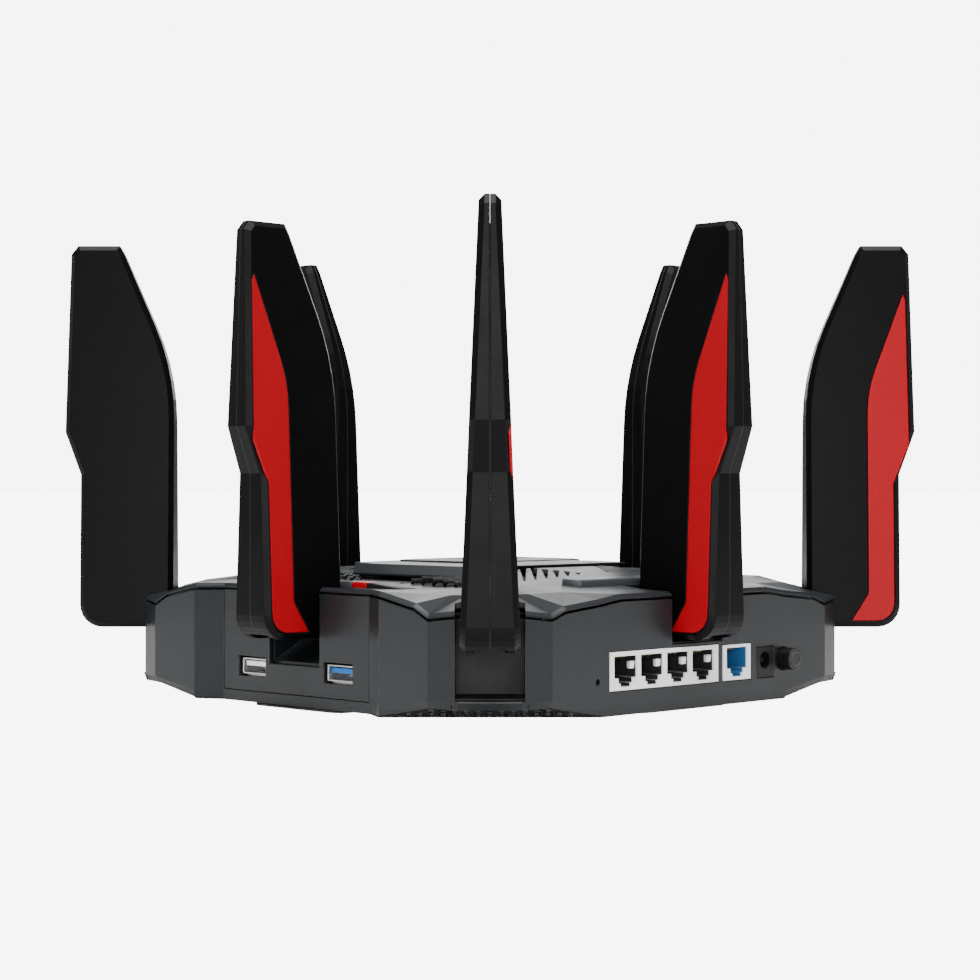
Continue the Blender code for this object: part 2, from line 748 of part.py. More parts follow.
def blade_half():
    """One half of a blade, from the seam to its chamfered outer face."""
    shape = upright(blade_outline(), lambda up: GAP / 2, half_thickness)
    rim = [
        edge for edge in shape.edges
        if all(vert.co.y > GAP for vert in edge.verts)
        and any(all(vert.co.y > GAP for vert in face.verts) for face in edge.link_faces)]
    bmesh.ops.bevel(
        shape, geom=rim, offset=BLADE_CHAMFER, offset_type="OFFSET", segments=1,
        affect="EDGES", clamp_overlap=True)
    return shape


def make_antenna(place):
    """One antenna: two shell halves, the inlay and the radiator board between them."""
    turn = antenna_turn(place)
    inlaid = ANTENNAS[place][1]
    tools = {}
    for kind, sign in (("inlaid", inlaid), ("plain", -inlaid)):
        shell = part(f"{place}_antenna_{kind}_shell", at_blade(blade_half(), place, sign), BLACK, turn,
                     hinge_pivot(place))
        core = upright(core_outline(), lambda up: -0.0010, lambda up: half_thickness(up) - BLADE_WALL - INLAY_DEPTH)
        tools = [part_cutter(f"core_{kind}_{place}", at_blade(core, place, sign), turn)]
        slot_out = HINGE_ACROSS + ARM_HALF + ARM_PLAY
        slot_up = BLADE_ROUND + ARM_HALF + ARM_PLAY
        slot = span((-0.0020, -0.0010, -0.0020), (slot_out, ARM_HALF + ARM_PLAY, slot_up))
        tools.append(part_cutter(f"arm_slot_{kind}_{place}", at_blade(slot, place, sign), turn))
        socket = rod(PIN_RADIUS + GAP, (HINGE_ACROSS, -0.0010, BLADE_ROUND),
                     (HINGE_ACROSS, PIN_REACH + GAP, BLADE_ROUND), 16)
        tools.append(part_cutter(f"pin_socket_{kind}_{place}", at_blade(socket, place, sign), turn))
        if kind == "inlaid":
            pocket = upright(grown(inlay_outline(), GAP), lambda up: half_thickness(up) - INLAY_DEPTH - GAP,
                             lambda up: half_thickness(up) + 0.0010)
            tools.append(part_cutter(f"inlay_pocket_{place}", at_blade(pocket, place, sign), turn))
        combine(shell, tools)
    inlay = upright(inlay_outline(), lambda up: half_thickness(up) - INLAY_DEPTH, half_thickness)
    part(f"{place}_antenna_inlay", at_blade(inlay, place, inlaid), RED, turn, hinge_pivot(place))
    board = upright(grown(core_outline(), -GAP), lambda up: -0.0005, lambda up: 0.0005)
    part(f"{place}_antenna_radiator", at_blade(board, place, 1), BOARD_GREEN, turn, hinge_pivot(place))


# ------------------------------------------------------------------------- the inside
def make_board():
    """The main board, with its rear edge under the sockets."""
    rear = FACE_REACH - CASE_WALL - 0.0010
    outline = [
        (-BOARD_HALF, -BOARD_HALF), (BOARD_HALF, -BOARD_HALF), (BOARD_HALF, -0.0340), (0.0960, -0.0340),
        (0.0960, 0.0340), (BOARD_HALF, 0.0340), (BOARD_HALF, BOARD_HALF), (0.0580, BOARD_HALF),
        (0.0580, rear), (-0.0580, rear), (-0.0580, BOARD_HALF), (-BOARD_HALF, BOARD_HALF)]
    return part("main_board", prism(outline, BOARD_Z, BOARD_Z + BOARD_THICKNESS), BOARD_GREEN)


def make_heatsink():
    """A finned heatsink, one comb-shaped outline drawn out along its length."""
    half = 0.0360
    count = 9
    pitch = 2 * half / count
    fin = 0.0018
    base = PORT_FLOOR_Z + 0.0030
    top = PORT_FLOOR_Z + 0.0200
    outline = [(-half, PORT_FLOOR_Z), (half, PORT_FLOOR_Z)]
    for index in reversed(range(count)):
        middle = -half + (index + 0.5) * pitch
        outline += [(middle + fin / 2, base), (middle + fin / 2, top)]
        outline += [(middle - fin / 2, top), (middle - fin / 2, base)]
    outline.insert(2, (half, base))
    outline.append((-half, base))
    shape = upright(outline, lambda up: -0.0300, lambda up: 0.0300)
    return part("heatsink", shape, ALUMINIUM)


def make_shield():
    """A pressed can over the radio circuits, open underneath."""
    shape = span((-0.0300, -0.0680, PORT_FLOOR_Z), (0.0300, -0.0380, PORT_FLOOR_Z + 0.0050))
    shield = part("radio_shield", shape, STEEL)
    inside = span((-0.0296, -0.0676, PORT_FLOOR_Z - 0.0010), (0.0296, -0.0384, PORT_FLOOR_Z + 0.0046))
    combine(shield, [part_cutter("shield_inside", inside)])
    return shield


def ported(name, middle, width, height, ports, material):
    """A socket block with stepped ports in its rear face: contacts above, latch below."""
    low = (middle - width / 2, FACE_REACH - PORT_DEPTH, PORT_FLOOR_Z)
    high = (middle + width / 2, FACE_REACH + GAP, PORT_FLOOR_Z + height)
    socket = part(name, span(low, high), material)
    near = FACE_REACH + 0.0030
    far = FACE_REACH - PORT_DEPTH + 0.0040
    foot = PORT_FLOOR_Z + 0.0012
    steps = (
        ("mouth", PORT_WIDTH / 2, foot + 0.0031, foot + 0.0107, far),
        ("step", 0.0038, foot + 0.0013, foot + 0.0040, far + 0.0010),
        ("latch", 0.0027, foot, foot + 0.0020, far + 0.0020))
    tools = []
    for step, half, bottom, top, depth in steps:
        shapes = [span((port - half, depth, bottom), (port + half, near, top)) for port in ports]
        tools.append(gather(f"{name}_{step}", shapes))
    combine(socket, tools)
    return socket


def make_rear_sockets():
    """The network sockets, the power inlet and the two rear buttons."""
    first = PORT_BLOCK_X + PORT_PITCH * (PORT_COUNT - 1) / 2 + 0.0003
    ports = [first - index * PORT_PITCH for index in range(PORT_COUNT)]
    ported("lan_sockets", PORT_BLOCK_X, PORT_BLOCK_WIDTH, PORT_BLOCK_HEIGHT, ports, SOCKET)
    ported("wan_socket", WAN_X, WAN_WIDTH, WAN_HEIGHT, [WAN_X], SOCKET)
    low = (INLET_X - INLET_WIDTH / 2, FACE_REACH - 0.0130, PORT_FLOOR_Z)
    high = (INLET_X + INLET_WIDTH / 2, FACE_REACH, PORT_FLOOR_Z + INLET_HEIGHT)
    inlet = part("power_inlet", span(low, high), BLACK)
    axis_z = PORT_FLOOR_Z + INLET_HEIGHT / 2 + 0.0008
    bore = rod(INLET_BORE, (INLET_X, FACE_REACH - 0.0110, axis_z), (INLET_X, FACE_REACH + 0.0020, axis_z))
    pin = rod(INLET_PIN, (INLET_X, FACE_REACH - 0.0120, axis_z), (INLET_X, FACE_REACH - 0.0015, axis_z), 12)
    combine(inlet, [part_cutter("inlet_bore", bore)])
    combine(inlet, [part_cutter("inlet_pin", pin)], "UNION")
    back = FACE_REACH - 0.0090
    face = FACE_REACH + POWER_BUTTON_PROUD
    stem = rod(POWER_BUTTON_RADIUS, (0, back, 0), (0, face, 0), 28)
    power = place_button("power_button", stem, (POWER_BUTTON_X, 0.0, POWER_BUTTON_Z), BLACK)
    collar = rod(POWER_BUTTON_RADIUS + 0.0012, (POWER_BUTTON_X, back, POWER_BUTTON_Z),
                 (POWER_BUTTON_X, FACE_REACH - CASE_WALL - GAP - 0.0001, POWER_BUTTON_Z), 28)
    combine(power, [part_cutter("power_collar", collar)], "UNION")
    plunger = rod(RESET_HOLE - GAP, (0, FACE_REACH - 0.0060, 0), (0, FACE_REACH - 0.0012, 0), 12)
    place_button("reset_button", plunger, (RESET_X, 0.0, RESET_Z), BLACK)


def place_button(name, shape, centre, material):
    """Make a button that slides along the rear face's normal."""
    shape.transform(Matrix.Translation(centre))
    return part(name, shape, material, 0.0, (centre[0], FACE_REACH, centre[2]))


def make_usb(name, y, material):
    """A USB socket: a steel shell with its tongue, standing on the board."""
    face = FACE_REACH - PANEL_RECESS - 0.0012
    low = (face - USB_DEPTH, y - USB_WIDTH / 2, USB_Z - USB_HEIGHT / 2)
    high = (face, y + USB_WIDTH / 2, USB_Z + USB_HEIGHT / 2)
    socket = part(name, span(low, high), material)
    bottom = USB_Z - USB_HEIGHT / 2 + USB_SHELL
    mouth = span((face - USB_DEPTH + 0.0020, y - USB_WIDTH / 2 + USB_SHELL, bottom),
                 (face + 0.0010, y + USB_WIDTH / 2 - USB_SHELL, high[2] - USB_SHELL))
    tongue = span((face - USB_DEPTH + 0.0010, y - 0.0057, high[2] - USB_SHELL - 0.0024),
                  (face - 0.0008, y + 0.0057, high[2] - USB_SHELL - 0.0005))
    leg = span((low[0], low[1] + 0.0010, BOARD_Z + BOARD_THICKNESS + GAP),
               (face - 0.0016, high[1] - 0.0010, low[2] + USB_SHELL / 2))
    combine(socket, [part_cutter(f"{name}_mouth", mouth)])
    combine(socket, [part_cutter(f"{name}_tongue", tongue), part_cutter(f"{name}_leg", leg)], "UNION")
    return socket


def make_light_guide():
    """The strip that brings the status lights to the front face."""
    shape = span((-0.0300, -FACE_REACH + GAP, 0.0120), (0.0300, -FACE_REACH + 0.0060, 0.0150))
    return part("status_light_guide", shape, CLEAR)


def make_foot(index):
    """A low rubber foot along the middle of one side, bedded on the underside."""
    name = ("right", "rear", "left", "front")[index]
    outline = []
    half = FOOT_LENGTH / 2 - FOOT_WIDTH / 2
    for centre, start in ((half, 0), (-half, 180)):
        outline += [(x, y) for x, y in arc((0.0, centre), FOOT_WIDTH / 2, start, start + 180, 6)]
    outline = [(x + FOOT_REACH, y) for x, y in outline]
    shape = prism(outline, 0.0, FOOT_HEIGHT - GAP)
    return part(f"{name}_foot", shape, RUBBER, math.radians(90 * index))


# --------------------------------------------------------------------------- assembly
make_case()
make_cover()
make_canopy()
make_side_panel(0)
make_side_panel(2)
for antenna in ANTENNAS:
    make_mount(antenna)
    make_antenna(antenna)
make_board()
make_heatsink()
make_shield()
make_rear_sockets()
make_usb("usb2_socket", -USB_Y, STEEL)
make_usb("usb3_socket", USB_Y, STEEL)
make_light_guide()
for foot in range(4):
    make_foot(foot)
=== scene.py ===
"""The looks of a wireless router with eight folding blade antennas.

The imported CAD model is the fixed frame. Each sub-assembly below dresses its CAD nodes
with a procedural finish and adds the small pieces that the solids leave out: trim bars,
louvres under the deck slits, contacts in the ports, the button's ring and the lenses
of the status lights. Lengths are in metres, +Z is up and +Y is the rear.
"""

import logging
import math
from dataclasses import dataclass
from enum import Enum
from typing import Callable, Iterable

import bpy
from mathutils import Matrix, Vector


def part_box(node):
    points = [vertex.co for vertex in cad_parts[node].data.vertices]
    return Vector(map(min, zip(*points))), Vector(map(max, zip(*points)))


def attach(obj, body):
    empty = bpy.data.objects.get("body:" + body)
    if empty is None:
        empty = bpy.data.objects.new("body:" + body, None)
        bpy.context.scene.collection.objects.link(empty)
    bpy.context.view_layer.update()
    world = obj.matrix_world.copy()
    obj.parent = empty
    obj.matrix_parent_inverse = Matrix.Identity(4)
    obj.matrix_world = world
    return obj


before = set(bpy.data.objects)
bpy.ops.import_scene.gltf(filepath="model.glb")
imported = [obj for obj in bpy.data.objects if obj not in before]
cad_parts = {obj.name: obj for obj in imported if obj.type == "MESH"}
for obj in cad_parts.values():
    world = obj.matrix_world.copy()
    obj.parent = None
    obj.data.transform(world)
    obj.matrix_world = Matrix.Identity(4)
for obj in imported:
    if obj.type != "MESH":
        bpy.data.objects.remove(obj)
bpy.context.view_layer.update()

LOG = logging.getLogger("router")
Colour = tuple[float, float, float]
Triple = tuple[float, float, float]

FACE_REACH = 0.1058         # centre to the rear face
PLACES = ("right", "rear_right", "rear", "rear_left",
          "left", "front_left", "front", "front_right")

EDGE_RADIUS = 0.00045       # how far round an edge its wear, its painted highlight and its rounded normals reach
EDGE_SAMPLES = 8
EDGE_BREAKUP = 90.0         # size of the patches that interrupt the edge wear and the painted edge highlight, in cells per metre
TONE_SCALE = 35.0           # size of the broad changes of tone, in cells per metre
TONE_DARKER = 0.92          # how much of the colour is left in the darker tone
DUST_COLOUR = (0.20, 0.195, 0.19, 1.0)
DUST_ROUGHNESS = 0.8        # roughness that a full film of dust adds
BRUSH_STRETCH = (0.05, 1.0, 1.0)
ZONE_SHARPNESS = 12000.0    # how quickly a zone's colour ends at its border
RELIEF_STRENGTH = 0.18
PLAIN_STRENGTH = 0.06       # the relief's strength on a plain finish
COAT_ROUGHNESS = 0.12
SMOOTH_ANGLE = math.radians(35)


class Side(Enum):
    """The four sides of the body, each with its turn about +Z in degrees."""

    RIGHT = 0
    REAR = 90
    LEFT = 180
    FRONT = 270


class Texture(Enum):
    """What the fine relief of a finish looks like."""

    MOULDED = "moulded"
    BRUSHED = "brushed"
    PLAIN = "plain"


# ------------------------------------------------------------------ shader groups
class Graph:
    """A thin layer over a node tree that makes and links nodes."""

    def __init__(self, tree: bpy.types.NodeTree) -> None:
        """Wrap a node tree.

        Args:
            tree: The material's or the group's node tree.
        """
        self.tree = tree

    def node(self, kind: str, **settings: object) -> bpy.types.Node:
        """Add a node.

        Args:
            kind: The node type, without the ShaderNode prefix.
            **settings: Properties of the node.

        Returns:
            The new node.
        """
        node = self.tree.nodes.new(f"ShaderNode{kind}")
        for key, value in settings.items():
            setattr(node, key, value)
        return node

    def feed(self, node: bpy.types.Node, name: object, source: object) -> None:
        """Set an input to a value, or link another socket to it.

        Args:
            node: The node that has the input.
            name: The input's name or number.
            source: A socket or a plain value.
        """
        if isinstance(source, bpy.types.NodeSocket):
            self.tree.links.new(source, node.inputs[name])
        else:
            node.inputs[name].default_value = source

    def maths(self, operation: str, first: object, second: object = 0.0,
              clamp: bool = False) -> bpy.types.NodeSocket:
        """Add a Math node.

        Args:
            operation: What it does.
            first: Its first input, a socket or a value.
            second: Its second input.
            clamp: True to keep the result between 0 and 1.

        Returns:
            The socket of its result.
        """
        node = self.node("Math", operation=operation, use_clamp=clamp)
        self.feed(node, 0, first)
        self.feed(node, 1, second)
        return node.outputs[0]

    def vector(self, operation: str, first: object, second: object) -> bpy.types.Node:
        """Add a Vector Math node.

        Args:
            operation: What it does.
            first: Its first input, a socket or a value.
            second: Its second input.

        Returns:
            The new node.
        """
        node = self.node("VectorMath", operation=operation)
        self.feed(node, 0, first)
        self.feed(node, 1, second)
        return node

    def spread(self, value: object, low: object, high: object,
               new_low: object, new_high: object) -> bpy.types.NodeSocket:
        """Add a clamped Map Range node.

        Args:
            value: The value to map.
            low: The value that becomes new_low.
            high: The value that becomes new_high.
            new_low: The result at low.
            new_high: The result at high.

        Returns:
            The socket of its result.
        """
        node = self.node("MapRange")
        for name, source in (("Value", value), ("From Min", low), ("From Max", high),
                             ("To Min", new_low), ("To Max", new_high)):
            self.feed(node, name, source)
        return node.outputs["Result"]

    def noise(self, vector: object, scale: object, detail: float,
              roughness: float = 0.5) -> bpy.types.NodeSocket:
        """Add a Noise texture.

        Args:
            vector: Its coordinates.
            scale: Its scale, in cells per metre.
            detail: How many finer layers it has.
            roughness: How strong the finer layers are.

        Returns:
            The socket of its value.
        """
        node = self.node("TexNoise")
        self.feed(node, "Vector", vector)
        self.feed(node, "Scale", scale)
        self.feed(node, "Detail", detail)
        self.feed(node, "Roughness", roughness)
        return node.outputs["Fac"]

    def blend(self, share: object, first: object, second: object) -> bpy.types.NodeSocket:
        """Add a colour Mix node.

        Args:
            share: How much of the second colour there is.
            first: The first colour.
            second: The second colour.

        Returns:
            The socket of its result.
        """
        node = self.node("Mix", data_type="RGBA")
        self.feed(node, "Factor", share)
        self.feed(node, 6, first)
        self.feed(node, 7, second)
        return node.outputs[2]

    def use(self, group: bpy.types.NodeTree, **inputs: object) -> bpy.types.Node:
        """Place a node group.

        Args:
            group: The group to place.
            **inputs: Its inputs, with _ in place of a space in a name.

        Returns:
            The group node.
        """
        node = self.node("Group")
        node.node_tree = group
        for key, source in inputs.items():
            self.feed(node, key.replace("_", " "), source)
        return node


def new_group(name: str, inputs: Iterable[tuple], outputs: Iterable[tuple]) -> tuple:
    """Start a shader node group with named sockets.

    Args:
        name: The group's name.
        inputs: Names and kinds of its inputs.
        outputs: Names and kinds of its outputs.

    Returns:
        The group, a graph of it, its input node and its output node.
    """
    group = bpy.data.node_groups.new(name, "ShaderNodeTree")
    for socket, kind in inputs:
        group.interface.new_socket(socket, in_out="INPUT", socket_type=f"NodeSocket{kind}")
    for socket, kind in outputs:
        group.interface.new_socket(socket, in_out="OUTPUT", socket_type=f"NodeSocket{kind}")
    entry = group.nodes.new("NodeGroupInput")
    leave = group.nodes.new("NodeGroupOutput")
    return group, Graph(group), entry.outputs, leave


class Effects:
    """The shader node groups that the finishes share, each built once."""

    def __init__(self) -> None:
        """Build every group."""
        self.grain = self._grain()
        self.edges = self._edges()
        self.dust = self._dust()
        self.zone = self._zone()
        self.handling = self._handling()

    def _grain(self) -> bpy.types.NodeTree:
        """Fine relief that also varies the gloss.

        Returns:
            The node group.
        """
        group, graph, entry, leave = new_group(
            "fine_grain",
            [("Vector", "Vector"), ("Scale", "Float"), ("Low", "Float"), ("High", "Float")],
            [("Roughness", "Float"), ("Height", "Float")])
        fine = graph.noise(entry["Vector"], entry["Scale"], 2.0)
        coarse = graph.maths("MULTIPLY", entry["Scale"], 0.02)
        cloud = graph.noise(entry["Vector"], coarse, 3.0, 0.6)
        mixed = graph.maths("ADD", graph.maths("MULTIPLY", fine, 0.35),
                            graph.maths("MULTIPLY", cloud, 0.65))
        gloss = graph.spread(mixed, 0.35, 0.65, entry["Low"], entry["High"])
        group.links.new(gloss, leave.inputs["Roughness"])
        group.links.new(fine, leave.inputs["Height"])
        return group

    def _edges(self) -> bpy.types.NodeTree:
        """Rounded edge normals, and a mask of where the edges are, which the finishes use to
        lighten edges, partly as wear and partly as a painted highlight.

        Returns:
            The node group.
        """
        group, graph, entry, leave = new_group(
            "edge_wear_and_highlight",
            [("Vector", "Vector"), ("Breakup", "Float")],
            [("Mask", "Float"), ("Normal", "Vector")])
        bevel = graph.node("Bevel", samples=EDGE_SAMPLES)
        bevel.inputs["Radius"].default_value = EDGE_RADIUS
        plain = graph.node("NewGeometry")
        dot = graph.vector("DOT_PRODUCT", bevel.outputs["Normal"], plain.outputs["True Normal"])
        edge = graph.spread(dot.outputs["Value"], 0.985, 0.80, 0.0, 1.0)
        patch = graph.spread(graph.noise(entry["Vector"], entry["Breakup"], 3.0),
                             0.38, 0.68, 0.25, 1.0)
        group.links.new(graph.maths("MULTIPLY", edge, patch), leave.inputs["Mask"])
        group.links.new(bevel.outputs["Normal"], leave.inputs["Normal"])
        return group

    def _dust(self) -> bpy.types.NodeTree:
        """A thin film of dust on what faces up.

        Returns:
            The node group.
        """
        group, graph, entry, leave = new_group(
            "settled_dust",
            [("Vector", "Vector"), ("Amount", "Float")],
            [("Mask", "Float")])
        plain = graph.node("NewGeometry")
        parts = graph.node("SeparateXYZ")
        graph.feed(parts, 0, plain.outputs["Normal"])
        up = graph.spread(parts.outputs["Z"], 0.55, 1.0, 0.0, 1.0)
        speck = graph.spread(graph.noise(entry["Vector"], 900.0, 4.0, 0.7),
                             0.46, 0.74, 0.15, 1.0)
        film = graph.maths("MULTIPLY", graph.maths("MULTIPLY", up, speck), entry["Amount"])
        group.links.new(film, leave.inputs["Mask"])
        return group

    def _zone(self) -> bpy.types.NodeTree:
        """A mask that is 1 inside a box in the piece's own coordinates.

        Returns:
            The node group.
        """
        group, graph, entry, leave = new_group(
            "box_zone",
            [("Vector", "Vector"), ("Low", "Vector"), ("High", "Vector"),
             ("Sharpness", "Float")],
            [("Mask", "Float")])
        mask = None
        for first, second in (("Vector", "Low"), ("High", "Vector")):
            away = graph.vector("SUBTRACT", entry[first], entry[second])
            parts = graph.node("SeparateXYZ")
            graph.feed(parts, 0, away.outputs[0])
            for axis in "XYZ":
                inside = graph.maths("MULTIPLY", parts.outputs[axis], entry["Sharpness"],
                                     clamp=True)
                mask = inside if mask is None else graph.maths("MULTIPLY", mask, inside)
        group.links.new(mask, leave.inputs["Mask"])
        return group

    def _handling(self) -> bpy.types.NodeTree:
        """Faint smears and hairline scratches from handling, as a change of gloss.

        Returns:
            The node group.
        """
        group, graph, entry, leave = new_group(
            "handling_marks",
            [("Vector", "Vector"), ("Strength", "Float")],
            [("Gloss Change", "Float"), ("Scratch", "Float")])
        smear = graph.spread(graph.noise(entry["Vector"], 22.0, 2.0), 0.48, 0.72, 0.0, 1.0)
        stretch = graph.vector("MULTIPLY", entry["Vector"], (900.0, 900.0, 30.0))
        hair = graph.spread(graph.noise(stretch.outputs[0], 1.0, 1.0), 0.70, 0.76, 0.0, 1.0)
        both = graph.maths("ADD", smear, graph.maths("MULTIPLY", hair, 0.8))
        change = graph.maths("MULTIPLY", both, entry["Strength"])
        group.links.new(change, leave.inputs["Gloss Change"])
        group.links.new(hair, leave.inputs["Scratch"])
        return group


# ------------------------------------------------------------------------ finishes
@dataclass(frozen=True)
class Zone:
    """A part of a piece that has its own colour.

    Attributes:
        low: Lowest corner of the box it fills.
        high: Highest corner of the box.
        colour: Colour inside the box.
    """

    low: Triple
    high: Triple
    colour: Colour


@dataclass(frozen=True)
class Finish:
    """A procedural finish.

    Attributes:
        name: Name of the material.
        colour: Base colour, linear.
        rim: Colour that edges take, partly as wear and partly as a painted edge highlight.
        gloss: Lowest and highest roughness.
        grain: Size of the grain, in cells per metre.
        relief: Depth of the grain in metres.
        wear_and_highlight: How strongly the edges change colour, as wear and as a painted edge
            highlight.
        film: Amount of dust on what faces up.
        marks: Strength of the handling marks.
        metallic: 1 for bare metal.
        specular: Reflection level of the plastic.
        coat: Weight of the clear gloss on top.
        glow: Strength of the light it gives.
        texture: Kind of relief.
        zones: Boxes with a colour of their own.
    """

    name: str
    colour: Colour
    rim: Colour
    gloss: tuple[float, float]
    grain: float = 2600.0
    relief: float = 0.000012
    wear_and_highlight: float = 0.35
    film: float = 0.05
    marks: float = 0.05
    metallic: float = 0.0
    specular: float = 0.5
    coat: float = 0.0
    glow: float = 0.0
    texture: Texture = Texture.MOULDED
    zones: tuple[Zone, ...] = ()

    def material(self, effects: Effects) -> bpy.types.Material:
        """Build the material.

        Args:
            effects: The shared node groups.

        Returns:
            The new material.
        """
        material = bpy.data.materials.new(self.name)
        material.use_nodes = True
        material.diffuse_color = (*self.colour, 1.0)
        graph = Graph(material.node_tree)
        shader = material.node_tree.nodes["Principled BSDF"]
        place = graph.node("TexCoord").outputs["Object"]
        pattern = place
        if self.texture is Texture.BRUSHED:
            pattern = graph.vector("MULTIPLY", place, BRUSH_STRETCH).outputs[0]
        grain = graph.use(effects.grain, Vector=pattern, Scale=self.grain,
                          Low=self.gloss[0], High=self.gloss[1])
        edges = graph.use(effects.edges, Vector=place, Breakup=EDGE_BREAKUP)
        dust = graph.use(effects.dust, Vector=place, Amount=self.film)
        marks = graph.use(effects.handling, Vector=place, Strength=self.marks)
        tone = graph.noise(place, TONE_SCALE, 2.0)
        darker = tuple(TONE_DARKER * part for part in self.colour)
        colour = graph.blend(tone, (*self.colour, 1.0), (*darker, 1.0))
        for zone in self.zones:
            mask = graph.use(effects.zone, Vector=place, Low=zone.low, High=zone.high,
                             Sharpness=ZONE_SHARPNESS)
            colour = graph.blend(mask.outputs["Mask"], colour, (*zone.colour, 1.0))
        # Lighter edges: partly wear, partly a painted highlight along every edge.
        edge_lightening = graph.maths("MULTIPLY", edges.outputs["Mask"], self.wear_and_highlight)
        colour = graph.blend(edge_lightening, colour, (*self.rim, 1.0))
        colour = graph.blend(dust.outputs["Mask"], colour, DUST_COLOUR)
        rough = graph.maths("ADD", grain.outputs["Roughness"], marks.outputs["Gloss Change"])
        dusty = graph.maths("MULTIPLY", dust.outputs["Mask"], DUST_ROUGHNESS)
        rough = graph.maths("ADD", rough, dusty, clamp=True)
        bump = graph.node("Bump")
        plain = self.texture is Texture.PLAIN
        bump.inputs["Strength"].default_value = PLAIN_STRENGTH if plain else RELIEF_STRENGTH
        bump.inputs["Distance"].default_value = self.relief
        graph.feed(bump, "Height", grain.outputs["Height"])
        graph.feed(bump, "Normal", edges.outputs["Normal"])
        graph.feed(shader, "Base Color", colour)
        graph.feed(shader, "Roughness", rough)
        graph.feed(shader, "Normal", bump.outputs["Normal"])
        shader.inputs["Metallic"].default_value = self.metallic
        shader.inputs["Specular IOR Level"].default_value = self.specular
        shader.inputs["Coat Weight"].default_value = self.coat
        shader.inputs["Coat Roughness"].default_value = COAT_ROUGHNESS
        if self.glow:
            shader.inputs["Emission Color"].default_value = (*self.colour, 1.0)
            shader.inputs["Emission Strength"].default_value = self.glow
        return material


BEHIND_FACE = ((-1.0, -1.0, -1.0), (1.0, FACE_REACH - 0.0004, 1.0))
FINISHES = {
    finish.name: finish for finish in (
        Finish("charcoal_case", (0.0078, 0.0094, 0.0108), (0.040, 0.045, 0.049), (0.28, 0.33),
               specular=0.28, film=0.0, marks=0.012),
        Finish("charcoal_deck", (0.0090, 0.0108, 0.0122), (0.040, 0.045, 0.049), (0.36, 0.44),
               specular=0.20, film=0.0, marks=0.012),
        Finish("canopy_satin", (0.0090, 0.0104, 0.0118), (0.040, 0.045, 0.049), (0.34, 0.42),
               specular=0.22, film=0.0, marks=0.012),
        Finish("slot_black", (0.0035, 0.0035, 0.0038), (0.015, 0.015, 0.015), (0.40, 0.55),
               specular=0.20, film=0.0),
        Finish("blade_black", (0.0011, 0.0011, 0.0012), (0.022, 0.024, 0.026), (0.30, 0.38),
               grain=3200.0, wear_and_highlight=0.6, film=0.0, specular=0.07, marks=0.012),
        Finish("inlay_red", (0.255, 0.0012, 0.0058), (0.36, 0.015, 0.02), (0.28, 0.36), wear_and_highlight=0.25,
               film=0.0, specular=0.10, marks=0.010, texture=Texture.PLAIN),
        Finish("antenna_brass", (0.68, 0.48, 0.20), (0.85, 0.70, 0.42), (0.22, 0.40),
               metallic=1.0, texture=Texture.BRUSHED, film=0.0),
        Finish("port_housing", (0.74, 0.745, 0.76), (0.86, 0.86, 0.87), (0.40, 0.55), film=0.0,
               wear_and_highlight=0.5, zones=(Zone(*BEHIND_FACE, (0.018, 0.018, 0.020)),)),
        Finish("uplink_housing", (0.72, 0.73, 0.76), (0.86, 0.86, 0.88), (0.38, 0.52), film=0.0,
               wear_and_highlight=0.4, zones=(Zone(*BEHIND_FACE, (0.015, 0.105, 0.26)),)),
        Finish("inlet_black", (0.004, 0.004, 0.0045), (0.02, 0.02, 0.02), (0.35, 0.5), film=0.0,
               specular=0.25),
        Finish("button_black", (0.0040, 0.0040, 0.0045), (0.03, 0.03, 0.03), (0.25, 0.38),
               film=0.0, specular=0.3),
        Finish("board_green", (0.012, 0.085, 0.035), (0.05, 0.2, 0.1), (0.25, 0.5), film=0.1),
        Finish("fin_aluminium", (0.58, 0.59, 0.61), (0.9, 0.9, 0.9), (0.28, 0.45), metallic=1.0,
               texture=Texture.BRUSHED),
        Finish("can_tinned", (0.55, 0.55, 0.56), (0.85, 0.85, 0.85), (0.25, 0.4), metallic=1.0,
               texture=Texture.BRUSHED),
        Finish("guide_smoked", (0.012, 0.012, 0.014), (0.05, 0.05, 0.05), (0.10, 0.20), coat=0.2,
               texture=Texture.PLAIN),
        Finish("foot_rubber_black", (0.013, 0.013, 0.013), (0.05, 0.05, 0.05), (0.72, 0.9),
               relief=0.00003, film=0.0, marks=0.0),
        Finish("trim_grey", (0.034, 0.038, 0.041), (0.08, 0.09, 0.09), (0.30, 0.38), specular=0.3,
               film=0.0),
        Finish("ring_grey", (0.020, 0.020, 0.022), (0.06, 0.06, 0.06), (0.25, 0.35), specular=0.4,
               film=0.0),
        Finish("tab_white", (0.80, 0.80, 0.79), (0.9, 0.9, 0.9), (0.35, 0.5), film=0.0),
        Finish("contact_gold", (0.34, 0.22, 0.08), (0.5, 0.4, 0.2), (0.25, 0.35), metallic=1.0,
               film=0.0, texture=Texture.PLAIN),
        Finish("lens_pale", (0.55, 0.62, 0.70), (0.8, 0.85, 0.9), (0.10, 0.2), coat=0.5,
               glow=0.35, texture=Texture.PLAIN),
    )
}


